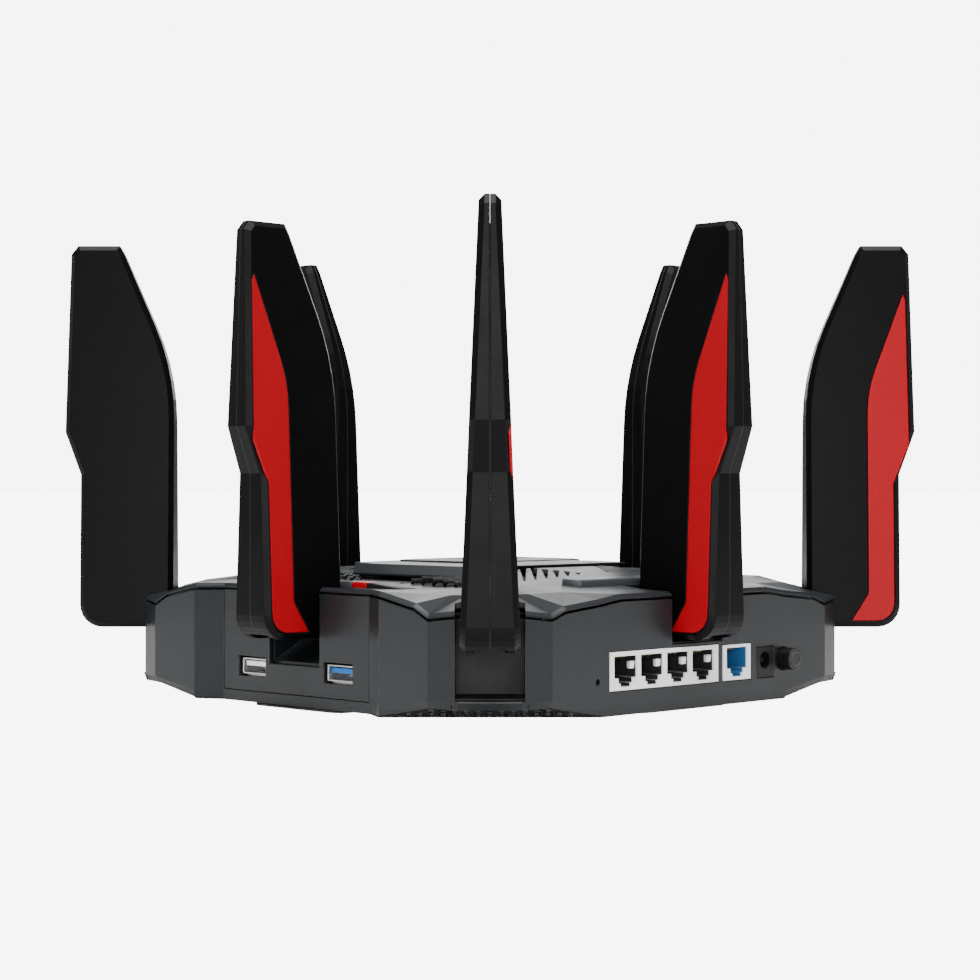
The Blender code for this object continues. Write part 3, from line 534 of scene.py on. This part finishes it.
class Paintbox:
    """Makes each finish's material when it is first asked for."""

    def __init__(self) -> None:
        """Build the shared groups and start with no materials."""
        self.effects = Effects()
        self.made: dict[str, bpy.types.Material] = {}

    def get(self, name: str) -> bpy.types.Material:
        """Return the material of a finish in the list.

        Args:
            name: The finish's name.

        Returns:
            Its material.
        """
        return self.custom(FINISHES[name])

    def custom(self, finish: Finish) -> bpy.types.Material:
        """Return a finish's material, built when it is first asked for.

        Args:
            finish: The finish, from the list or not.

        Returns:
            Its material.
        """
        if finish.name not in self.made:
            self.made[finish.name] = finish.material(self.effects)
        return self.made[finish.name]

    def dress(self, node: str, material: bpy.types.Material) -> None:
        """Give a CAD node one material in all its slots.

        Args:
            node: Name of the CAD node.
            material: The material.
        """
        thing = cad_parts[node]
        for place in thing.material_slots:
            place.material = material


# ------------------------------------------------------------------------ modelling
def deselect() -> None:
    """Deselect every object."""
    if bpy.context.object and bpy.context.object.mode != "OBJECT":
        bpy.ops.object.mode_set(mode="OBJECT")
    bpy.ops.object.select_all(action="DESELECT")


def select_only(thing: bpy.types.Object) -> None:
    """Select one object and make it the active one.

    Args:
        thing: The object.
    """
    deselect()
    thing.select_set(True)
    bpy.context.view_layer.objects.active = thing


def settle(thing: bpy.types.Object) -> None:
    """Move an object's place, turn and size into its mesh.

    Args:
        thing: The object.
    """
    select_only(thing)
    bpy.ops.object.transform_apply(location=True, rotation=True, scale=True)


def cube(size: Triple, centre: Triple) -> bpy.types.Object:
    """Add a block.

    Args:
        size: Its full lengths.
        centre: Its middle.

    Returns:
        The object, with its place in its mesh.
    """
    deselect()
    bpy.ops.mesh.primitive_cube_add(size=1.0, location=centre, scale=size)
    thing = bpy.context.object
    settle(thing)
    return thing


def pick(thing: bpy.types.Object, test: Callable[[Vector], bool]) -> None:
    """Enter edit mode with the vertices that pass a test selected.

    Args:
        thing: The object.
        test: Says of a vertex's place whether it is selected.
    """
    select_only(thing)
    bpy.ops.object.mode_set(mode="EDIT")
    bpy.ops.mesh.select_mode(type="VERT")
    bpy.ops.mesh.select_all(action="DESELECT")
    bpy.ops.object.mode_set(mode="OBJECT")
    for vertex in thing.data.vertices:
        vertex.select = test(vertex.co)
    bpy.ops.object.mode_set(mode="EDIT")


def shift(thing: bpy.types.Object, test: Callable[[Vector], bool], move: Triple) -> None:
    """Move the vertices that pass a test.

    Args:
        thing: The object.
        test: Says of a vertex's place whether it moves.
        move: How far it moves.
    """
    pick(thing, test)
    bpy.ops.transform.translate(value=move)
    bpy.ops.object.mode_set(mode="OBJECT")


def round_edges(thing: bpy.types.Object, width: float, segments: int = 2) -> None:
    """Round a piece's edges with an applied Bevel modifier.

    Args:
        thing: The piece.
        width: Width of the rounding.
        segments: How many faces it has across.
    """
    modifier = thing.modifiers.new("rounding", "BEVEL")
    modifier.width = width
    modifier.segments = segments
    modifier.limit_method = "ANGLE"
    select_only(thing)
    bpy.ops.object.modifier_apply(modifier=modifier.name)
    bpy.ops.object.shade_smooth_by_angle(angle=SMOOTH_ANGLE)


def copy_turned(thing: bpy.types.Object, degrees: float, flip: bool = False) -> bpy.types.Object:
    """Copy a piece with its own mesh, turned about +Z.

    Args:
        thing: The piece to copy.
        degrees: Turn about +Z.
        flip: True to mirror it in Y before the turn.

    Returns:
        The copy, with its place in its mesh.
    """
    copy = thing.copy()
    copy.data = thing.data.copy()
    bpy.context.scene.collection.objects.link(copy)
    if flip:
        copy.scale = (1.0, -1.0, 1.0)
        settle(copy)
        pick(copy, lambda point: True)
        bpy.ops.mesh.normals_make_consistent(inside=False)
        bpy.ops.object.mode_set(mode="OBJECT")
    copy.rotation_euler = (0.0, 0.0, math.radians(degrees))
    settle(copy)
    return copy


def join(things: list[bpy.types.Object], name: str) -> bpy.types.Object:
    """Join several pieces into one.

    Args:
        things: The pieces.
        name: Name of the joined piece.

    Returns:
        The joined piece.
    """
    deselect()
    for thing in things:
        thing.select_set(True)
    bpy.context.view_layer.objects.active = things[0]
    bpy.ops.object.join()
    things[0].name = name
    things[0].data.name = name
    return things[0]


def hand_over(thing: bpy.types.Object, name: str, body: str,
              material: bpy.types.Material) -> None:
    """Name a finished piece, paint it and put it on its body.

    Args:
        thing: The piece.
        name: Its name.
        body: The CAD body it moves with.
        material: Its material.
    """
    thing.name = name
    thing.data.name = name
    thing.data.materials.clear()
    thing.data.materials.append(material)
    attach(thing, body)
    LOG.info("piece %s on %s, %d faces", name, body, len(thing.data.polygons))


# --------------------------------------------------------------------- sub-assemblies
@dataclass
class Antennas:
    """The eight blades, their liners and what is inside them."""

    shell: str = "blade_black"
    inlay: str = "inlay_red"
    # The corner mounts take a darker black than the side mounts: painted shade in the corner
    # recesses.
    shaded_corner_liner: str = "slot_black"
    side_liner: str = "charcoal_case"
    radiator: str = "antenna_brass"
    gasket: str = "slot_black"
    split_reach: float = 0.0003     # how near the split a shell's vertex is its edge
    gasket_thickness: float = 0.00026

    def build(self, paints: Paintbox) -> None:
        """Dress the antenna nodes.

        Args:
            paints: Makes the materials.
        """
        for place in PLACES:
            for kind in ("inlaid_shell", "plain_shell"):
                paints.dress(f"{place}_antenna_{kind}", paints.get(self.shell))
            paints.dress(f"{place}_antenna_inlay", paints.get(self.inlay))
            # Corner mounts get the darker black as painted shade in their recesses; side mounts
            # keep the case colour.
            liner = self.shaded_corner_liner if "_" in place else self.side_liner
            paints.dress(f"{place}_antenna_mount", paints.get(liner))
            paints.dress(f"{place}_antenna_radiator", paints.get(self.radiator))
            self.seam(place, paints)
        LOG.info("antennas dressed")

    def seam(self, place: str, paints: Paintbox) -> None:
        """A thin dark gasket between the two shells of an antenna.

        Args:
            place: Which antenna.
            paints: Makes the materials.
        """
        turn = math.radians(45 * PLACES.index(place))
        across = Vector((-math.sin(turn), math.cos(turn), 0.0))
        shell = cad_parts[f"{place}_antenna_plain_shell"]
        gasket = shell.copy()
        gasket.data = shell.data.copy()
        gasket.parent = None
        bpy.context.scene.collection.objects.link(gasket)
        pick(gasket, lambda point: True)
        bpy.ops.mesh.remove_doubles(threshold=0.00001)
        bpy.ops.object.mode_set(mode="OBJECT")
        pick(gasket, lambda point: abs(point.dot(across)) > self.split_reach)
        bpy.ops.mesh.delete(type="VERT")
        bpy.ops.object.mode_set(mode="OBJECT")
        offset = gasket.data.vertices[0].co.dot(across)
        shift(gasket, lambda point: True, tuple(-offset * across))
        wall = gasket.modifiers.new("gasket", "SOLIDIFY")
        wall.thickness = self.gasket_thickness
        wall.offset = 0.0
        bpy.ops.object.modifier_apply(modifier=wall.name)
        hand_over(gasket, f"{place}_antenna_gasket", f"{place}_antenna",
                  paints.get(self.gasket))


@dataclass
class Body:
    """The case, the deck, the canopy, the side panels and the feet.

    Attributes:
        deck_start: Distance from the centre where the sloping deck begins.
        deck_run: How far out the slope runs.
        deck_beside: The deck's height at both ends of the slope, on the right and left.
        deck_behind: The same on the rear and front.
        trim_reach: Inner and outer edge of the bars, from the centre.
        trim_end: Where the bars end, along the side.
        accent_along: Where the red parts start and end, along the side.
        trim_rise: The bars' height above the deck.
        trim_sunk: How deep the bars stand in the deck.
        trim_lean: How far the bars' outer face leans in.
        trim_rounding: Rounding of the bars' edges.
        slant: How far the end of a plain bar is drawn back.
        wedge_rise: Height of a wedge's thin end.
        wedge_slant: How far a wedge's end is drawn back.
        louvre_reach: Where the rows of louvre bars start and stop, from the centre.
        louvre_pitch: Distance between the rows.
        louvre_size: Width and height of a louvre bar.
        louvre_drop: How far the bars lie below the deck.
        louvre_profile: Distance from the centre and height along a deck's corner.
        slit_row: Distance from the centre to the first row of slits.
        slit_pitch: Distance between the slits of a row.
        slit_columns: Most slits on one side of a row's middle.
        slit_corner: Where the slits' rows would end in a point.
        panel_size: Size of the canopy's raised panel.
        skirt_size: Size of the dark block under the canopy.
        skirt_middle: Height of that block's middle.
    """

    deck_start: float = 0.0720
    deck_run: float = 0.0180
    deck_beside: tuple[float, float] = (0.0442, 0.0434)
    deck_behind: tuple[float, float] = (0.0462, 0.0438)
    trim_reach: tuple[float, float] = (0.0748, 0.0812)
    trim_end: float = 0.0385
    accent_along: tuple[float, float] = (0.0090, 0.0172)
    trim_rise: float = 0.0019
    trim_sunk: float = 0.0008
    trim_lean: float = 0.0010
    trim_rounding: float = 0.0002
    slant: float = 0.0040
    wedge_rise: float = 0.0001
    wedge_slant: float = 0.0020
    louvre_reach: tuple[float, float] = (0.0440, 0.0990)
    louvre_pitch: float = 0.0030
    louvre_size: tuple[float, float] = (0.0009, 0.0010)
    louvre_drop: float = 0.0014
    louvre_profile: tuple[tuple[float, float], ...] = (
        (0.0455, 0.0455), (0.0610, 0.0486), (0.0960, 0.0460), (0.1140, 0.0432))
    slit_row: float = 0.0455
    slit_pitch: float = 0.0041
    slit_columns: int = 9
    slit_corner: float = 0.1020
    panel_size: Triple = (0.0560, 0.0440, 0.0008)
    skirt_size: Triple = (0.0770, 0.0680, 0.0075)
    skirt_middle: float = 0.0438

    def build(self, paints: Paintbox) -> None:
        """Dress the body's nodes and add its trim.

        Args:
            paints: Makes the materials.
        """
        for node in ("case", "side_panel_right", "side_panel_left"):
            paints.dress(node, paints.get("charcoal_case"))
        paints.dress("top_cover", paints.get("charcoal_deck"))
        paints.dress("centre_canopy", paints.get("canopy_satin"))
        for side in Side:
            paints.dress(f"{side.name.lower()}_foot", paints.get("foot_rubber_black"))
        self.trim_bars(paints)
        self.louvres(paints)
        self.canopy_parts(paints)

    def deck_height(self, side: Side, out: float) -> tuple[float, float]:
        """Find the deck's height and slope.

        Args:
            side: The side of the body.
            out: Distance from the centre.

        Returns:
            The height there, and the slope.
        """
        high, low = self.deck_beside if side in (Side.RIGHT, Side.LEFT) else self.deck_behind
        slope = (low - high) / self.deck_run
        return high + slope * (out - self.deck_start), slope

    def on_deck(self, thing: bpy.types.Object, side: Side, out: float) -> None:
        """Tilt a piece, made flat round the origin, to the deck's slope and raise it there.

        Args:
            thing: The piece.
            side: The side whose slope it takes.
            out: Its distance from the centre.
        """
        height, slope = self.deck_height(side, out)
        thing.rotation_euler = (0.0, -math.atan(slope), 0.0)
        thing.location = (out, 0.0, height)
        settle(thing)

    def bar(self, side: Side, along: tuple[float, float], rise: tuple[float, float],
            slant: float) -> bpy.types.Object:
        """Make one raised bar on the deck, beside the positive end of a side.

        Args:
            side: The side it is made for.
            along: Where it starts and ends along the side.
            rise: Its height above the deck at the start and at the end.
            slant: How far the outer corner of its end is drawn back.

        Returns:
            The bar, on the deck of the right side before it is turned to its own.
        """
        low, high = self.trim_reach
        start, end = along
        middle = (start + end) / 2
        sunk = self.trim_sunk
        bar = cube((high - low, end - start, rise[0] + sunk), (0.0, middle, (rise[0] - sunk) / 2))
        shift(bar, lambda point: point.y > middle and point.z > 0, (0.0, 0.0, rise[1] - rise[0]))
        shift(bar, lambda point: point.y > middle and point.x > 0, (0.0, -slant, 0.0))
        shift(bar, lambda point: point.z > 0 and point.x > 0, (-self.trim_lean, 0.0, 0.0))
        round_edges(bar, self.trim_rounding)
        self.on_deck(bar, side, (low + high) / 2)
        return bar

    def mirrored(self, bar: bpy.types.Object, side: Side, name: str) -> bpy.types.Object:
        """Put a bar and its mirror image on a side and join them.

        Args:
            bar: The bar, which is used up.
            side: The side.
            name: Name of the pair.

        Returns:
            The pair as one piece.
        """
        pair = [copy_turned(bar, side.value, flip) for flip in (False, True)]
        bpy.data.objects.remove(bar, do_unlink=True)
        return join(pair, name)

    def trim_bars(self, paints: Paintbox) -> None:
        """Raised bars inside the mid-side antennas; those on the right and left carry red parts.

        Args:
            paints: Makes the materials.
        """
        for side in Side:
            word = side.name.lower()
            coloured = side in (Side.RIGHT, Side.LEFT)
            reach = self.accent_along[0] if coloured else self.trim_end
            level = (self.trim_rise, self.trim_rise)
            plain = self.bar(side, (0.0, reach), level, 0.0 if coloured else self.slant)
            hand_over(self.mirrored(plain, side, "bars"), f"deck_trim_{word}", "chassis",
                      paints.get("trim_grey"))
            if coloured:
                accent = self.bar(side, self.accent_along, level, 0.0)
                hand_over(self.mirrored(accent, side, "accents"), f"deck_accent_{word}", "chassis",
                          paints.get("inlay_red"))
                wedge = self.bar(side, (self.accent_along[1], self.trim_end),
                                 (self.trim_rise, self.wedge_rise), self.wedge_slant)
                hand_over(self.mirrored(wedge, side, "wedges"), f"deck_wedge_{word}", "chassis",
                          paints.get("slot_black"))

    def louvres(self, paints: Paintbox) -> None:
        """Fine bars across the deck slits, a little below the deck's surface.

        Args:
            paints: Makes the materials.
        """
        wide, tall = self.louvre_size
        bars = []
        reach, stop = self.louvre_reach
        while reach < stop:
            columns = math.floor((self.slit_corner - reach) / (1.6 * self.slit_pitch))
            half = min(columns, self.slit_columns) * self.slit_pitch + 0.0004
            if reach >= self.slit_row and columns > 0:
                height = self.corner_height(reach) - self.louvre_drop
                bars.append(cube((wide, 2 * half, tall), (reach, 0.0, height)))
            reach += self.louvre_pitch
        corner = join(bars, "louvres")
        for index in range(len(Side)):
            piece = copy_turned(corner, 45 + 90 * index)
            hand_over(piece, f"deck_louvres_{index + 1}", "chassis",
                      paints.get("slot_black"))
        bpy.data.objects.remove(corner, do_unlink=True)

    def corner_height(self, reach: float) -> float:
        """Find the deck's height on the line from the centre to a corner.

        Args:
            reach: Distance from the centre.

        Returns:
            The height there.
        """
        height = 0.0
        for (near, first), (far, second) in zip(self.louvre_profile, self.louvre_profile[1:]):
            if near <= reach <= far:
                height = first + (second - first) * (reach - near) / (far - near)
        return height

    def canopy_parts(self, paints: Paintbox) -> None:
        """A raised panel with a stepped edge on the canopy, and a dark skirt under it.

        Args:
            paints: Makes the materials.
        """
        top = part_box("centre_canopy")[1][2]
        plate = cube(self.panel_size, (0.0, 0.0, top - 0.0001))
        pick(plate, lambda point: point.z > top)
        bpy.ops.mesh.select_mode(type="FACE")
        bpy.ops.mesh.inset(thickness=0.0020, depth=0.0003)
        bpy.ops.mesh.inset(thickness=0.0004, depth=-0.0003)
        bpy.ops.object.mode_set(mode="OBJECT")
        round_edges(plate, 0.0002)
        hand_over(plate, "canopy_panel", "chassis", paints.get("canopy_satin"))
        skirt = cube(self.skirt_size, (0.0, 0.0, self.skirt_middle))
        pick(skirt, lambda point: point.z < self.skirt_middle)
        bpy.ops.mesh.select_mode(type="FACE")
        bpy.ops.mesh.inset(thickness=0.0020, depth=-0.0015)
        bpy.ops.object.mode_set(mode="OBJECT")
        round_edges(skirt, 0.0004)
        hand_over(skirt, "canopy_skirt", "chassis", paints.get("slot_black"))


@dataclass
class Electronics:
    """The board, its cooling and the sealed can, seen through the slits."""

    def build(self, paints: Paintbox) -> None:
        """Dress the inner nodes.

        Args:
            paints: Makes the materials.
        """
        paints.dress("main_board", paints.get("board_green"))
        paints.dress("heatsink", paints.get("fin_aluminium"))
        paints.dress("radio_shield", paints.get("can_tinned"))


@dataclass
class Ports:
    """The sockets and buttons.

    Attributes:
        lan_x: Middles of the four ganged ports.
        wan_x: Middle of the separate port.
        usb_y: Distance of a USB socket from the middle of its side.
        usb_z: Lower and upper side of a USB socket's tongue.
        tongue_half: Half the tongue's width.
        wire_count: Contact wires in a port.
        wire_pitch: Distance between the wires.
        wire_size: Size of a wire.
        wire_z: Height of the wires.
        wire_depth: How far behind the rear face the wires start.
        wire_middle: From there to a wire's middle.
        wire_drop: How much lower a wire's inner end is.
        tab_size: Size of the pale block in a port's mouth.
        tab_aside: Distance of the block from the port's middle.
        tab_depth: How far behind the rear face its middle is.
        tab_z: Height of its middle.
        tab_lean: How far its lower front edge leans in.
        tab_rounding: Rounding of its edges.
        button_x: Middle of the power button.
        button_z: Height of the power button.
        ring_radii: Radius of the button's ring and of its section.
    """

    lan_x: tuple[float, ...] = (0.0392, 0.0252, 0.0112, -0.0028)
    wan_x: float = -0.0222
    usb_y: float = 0.0240
    usb_z: tuple[float, float] = (0.01415, 0.01658)
    tongue_half: float = 0.0058
    wire_count: int = 8
    wire_pitch: float = 0.00102
    wire_size: Triple = (0.00035, 0.0070, 0.00035)
    wire_z: float = 0.0208
    wire_depth: float = 0.0042
    wire_middle: float = 0.0030
    wire_drop: float = 0.0022
    tab_size: Triple = (0.0024, 0.0018, 0.0026)
    tab_aside: float = 0.0047
    tab_depth: float = 0.0016
    tab_z: float = 0.0183
    tab_lean: float = 0.0004
    tab_rounding: float = 0.0002
    button_x: float = -0.0504
    button_z: float = 0.0161
    ring_radii: tuple[float, float] = (0.0026, 0.0003)

    def build(self, paints: Paintbox) -> None:
        """Dress the socket nodes and add their small parts.

        Args:
            paints: Makes the materials.
        """
        paints.dress("lan_sockets", paints.get("port_housing"))
        paints.dress("wan_socket", paints.get("uplink_housing"))
        paints.dress("power_inlet", paints.get("inlet_black"))
        paints.dress("power_button", paints.get("button_black"))
        paints.dress("reset_button", paints.get("button_black"))
        self.usb(paints)
        self.contacts(paints)
        self.button_ring(paints)

    def usb(self, paints: Paintbox) -> None:
        """Steel shells with a tongue of their own colour.

        Args:
            paints: Makes the materials.
        """
        for node, y, colour in (("usb2_socket", -self.usb_y, (0.78, 0.78, 0.77)),
                                ("usb3_socket", self.usb_y, (0.012, 0.12, 0.42))):
            low, high = self.usb_z
            zone = Zone((0.0, y - self.tongue_half, low), (1.0, y + self.tongue_half, high), colour)
            finish = Finish(f"{node}_finish", (0.62, 0.62, 0.63), (0.9, 0.9, 0.9), (0.20, 0.34),
                            metallic=0.85, texture=Texture.BRUSHED, film=0.0, zones=(zone,))
            paints.dress(node, paints.custom(finish))

    def contacts(self, paints: Paintbox) -> None:
        """Contact wires in all network ports, and tabs in the ganged ones.

        Args:
            paints: Makes the materials.
        """
        middle = FACE_REACH - self.wire_depth - self.wire_middle
        for index, x in enumerate((*self.lan_x, self.wan_x)):
            name = f"lan_{index + 1}" if index < len(self.lan_x) else "wan"
            if name != "wan":
                self.tab(paints, name, x)
            wires = []
            for wire in range(self.wire_count):
                across = x + (wire - (self.wire_count - 1) / 2) * self.wire_pitch
                piece = cube(self.wire_size, (across, middle, self.wire_z))
                shift(piece, lambda point: point.y < middle, (0.0, 0.0, -self.wire_drop))
                wires.append(piece)
            hand_over(join(wires, "wires"), f"{name}_port_contacts", "chassis",
                      paints.get("contact_gold"))

    def tab(self, paints: Paintbox, name: str, x: float) -> None:
        """A pale block in the side of a port's mouth.

        Args:
            paints: Makes the materials.
            name: Name of the port.
            x: Middle of the port.
        """
        middle = FACE_REACH - self.tab_depth
        block = cube(self.tab_size, (x - self.tab_aside, middle, self.tab_z))
        shift(block, lambda point: point.y > middle and point.z < self.tab_z,
              (self.tab_lean, 0.0, 0.0))
        round_edges(block, self.tab_rounding)
        hand_over(block, f"{name}_port_tab", "chassis", paints.get("tab_white"))

    def button_ring(self, paints: Paintbox) -> None:
        """A raised ring on the power button's face.

        Args:
            paints: Makes the materials.
        """
        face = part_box("power_button")[1][1]
        major, minor = self.ring_radii
        deselect()
        bpy.ops.mesh.primitive_torus_add(
            major_radius=major, minor_radius=minor, major_segments=40, minor_segments=8,
            location=(self.button_x, face, self.button_z), rotation=(math.pi / 2, 0.0, 0.0))
        ring = bpy.context.object
        settle(ring)
        bpy.ops.object.shade_smooth()
        hand_over(ring, "power_button_ring", "power_button_body",
                  paints.get("ring_grey"))


@dataclass
class StatusLights:
    """The smoked strip on the front and the lenses set in it."""

    count: int = 7
    pitch: float = 0.0080
    size: Triple = (0.0024, 0.0006, 0.0009)
    proud: float = 0.0001           # a lens's middle lies this far before the strip
    rounding: float = 0.00025

    def build(self, paints: Paintbox) -> None:
        """Dress the strip and add its lenses.

        Args:
            paints: Makes the materials.
        """
        paints.dress("status_light_guide", paints.get("guide_smoked"))
        low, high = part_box("status_light_guide")
        middle = (low[2] + high[2]) / 2
        lenses = []
        for index in range(self.count):
            x = (index - (self.count - 1) / 2) * self.pitch
            lens = cube(self.size, (x, low[1] - self.proud, middle))
            round_edges(lens, self.rounding)
            lenses.append(lens)
        hand_over(join(lenses, "lenses"), "status_lenses", "chassis",
                  paints.get("lens_pale"))


# ------------------------------------------------------------------------------ stage
@dataclass
class Studio:
    """The floor, the lights and the camera."""

    camera_place: Triple = (0.635, 0.635, 0.0801)
    lens: float = 83.9              # millimetres
    shift: float = -0.002
    backdrop: float = 8.5           # brightness of floor and surround on camera
    wash: float = 0.90              # share of the floor's shading that it covers
    surround: float = 0.30          # light that the surround gives
    floor_size: float = 60.0
    floor_tone: float = 0.80
    floor_roughness: float = 0.60

    def build(self) -> None:
        """Make everything that isn't the object."""
        self.floor()
        self.world()
        self.light("top_box", (0.3, 0.3, 1.5), (0.1, 0.1, 0.0), size=1.6, energy=95.0)
        self.light("front_box", (1.3, 1.3, 0.30), (0.0, 0.0, 0.06), size=0.6, energy=15.0)
        self.light("left_box", (0.9, -1.6, 0.6), (0.0, 0.0, 0.08), size=0.8, energy=4.0)
        self.light("right_box", (-1.6, 0.9, 0.6), (0.0, 0.0, 0.08), size=0.8, energy=3.0)
        self.light("back_box", (-1.4, -1.4, 0.7), (0.0, 0.0, 0.08), size=0.9, energy=9.0)
        self.camera()

    def floor(self) -> None:
        """A wide pale floor."""
        deselect()
        bpy.ops.mesh.primitive_plane_add(size=self.floor_size, location=(0.0, 0.0, 0.0))
        floor = bpy.context.object
        floor.name = "floor"
        material = bpy.data.materials.new("floor_pale")
        material.use_nodes = True
        shader = material.node_tree.nodes["Principled BSDF"]
        shader.inputs["Base Color"].default_value = (*(3 * (self.floor_tone,)), 1.0)
        shader.inputs["Roughness"].default_value = self.floor_roughness
        graph = Graph(material.node_tree)
        glow = graph.node("Emission")
        glow.inputs["Color"].default_value = (1.0, 1.0, 1.0, 1.0)
        glow.inputs["Strength"].default_value = self.backdrop
        wash = graph.node("MixShader")
        seen = graph.maths("MULTIPLY", graph.node("LightPath").outputs["Is Camera Ray"], self.wash)
        graph.feed(wash, 0, seen)
        graph.feed(wash, 1, shader.outputs[0])
        graph.feed(wash, 2, glow.outputs[0])
        graph.feed(material.node_tree.nodes["Material Output"], 0, wash.outputs[0])
        floor.data.materials.append(material)

    def world(self) -> None:
        """An even pale surround."""
        world = bpy.data.worlds.new("surround")
        bpy.context.scene.world = world
        world.use_nodes = True
        graph = Graph(world.node_tree)
        leave = world.node_tree.nodes["World Output"]
        around = world.node_tree.nodes["Background"]
        around.inputs["Color"].default_value = (1.0, 1.0, 1.0, 1.0)
        around.inputs["Strength"].default_value = self.surround
        seen = graph.node("Background")
        seen.inputs["Strength"].default_value = self.backdrop
        choice = graph.node("MixShader")
        graph.feed(choice, 0, graph.node("LightPath").outputs["Is Camera Ray"])
        graph.feed(choice, 1, around.outputs[0])
        graph.feed(choice, 2, seen.outputs[0])
        graph.feed(leave, 0, choice.outputs[0])

    def light(self, name: str, place: Triple, aim: Triple, size: float, energy: float) -> None:
        """Add a square soft light.

        Args:
            name: Name of the light.
            place: Where it stands.
            aim: The point it faces.
            size: Length of its side.
            energy: Its power in watts.
        """
        lamp = bpy.data.lights.new(name, "AREA")
        lamp.size = size
        lamp.energy = energy
        thing = bpy.data.objects.new(name, lamp)
        bpy.context.scene.collection.objects.link(thing)
        thing.location = place
        thing.rotation_euler = (Vector(aim) - Vector(place)).to_track_quat("-Z", "Y").to_euler()

    def camera(self) -> None:
        """Put the camera level, looking across the rear right corner."""
        data = bpy.data.cameras.new("camera")
        data.lens = self.lens
        data.sensor_width = 36.0
        data.shift_y = self.shift
        thing = bpy.data.objects.new("camera", data)
        bpy.context.scene.collection.objects.link(thing)
        thing.location = self.camera_place
        thing.rotation_euler = Vector((-1.0, -1.0, 0.0)).to_track_quat("-Z", "Y").to_euler()
        bpy.context.scene.camera = thing


def main() -> None:
    """Build the sub-assemblies in order."""
    logging.basicConfig(level=logging.INFO, format="%(message)s")
    paints = Paintbox()
    for assembly in (Body(), Antennas(), Electronics(), Ports(), StatusLights()):
        assembly.build(paints)
        LOG.info("%s done", type(assembly).__name__)
    Studio().build()


if __name__ == "__main__":
    main()
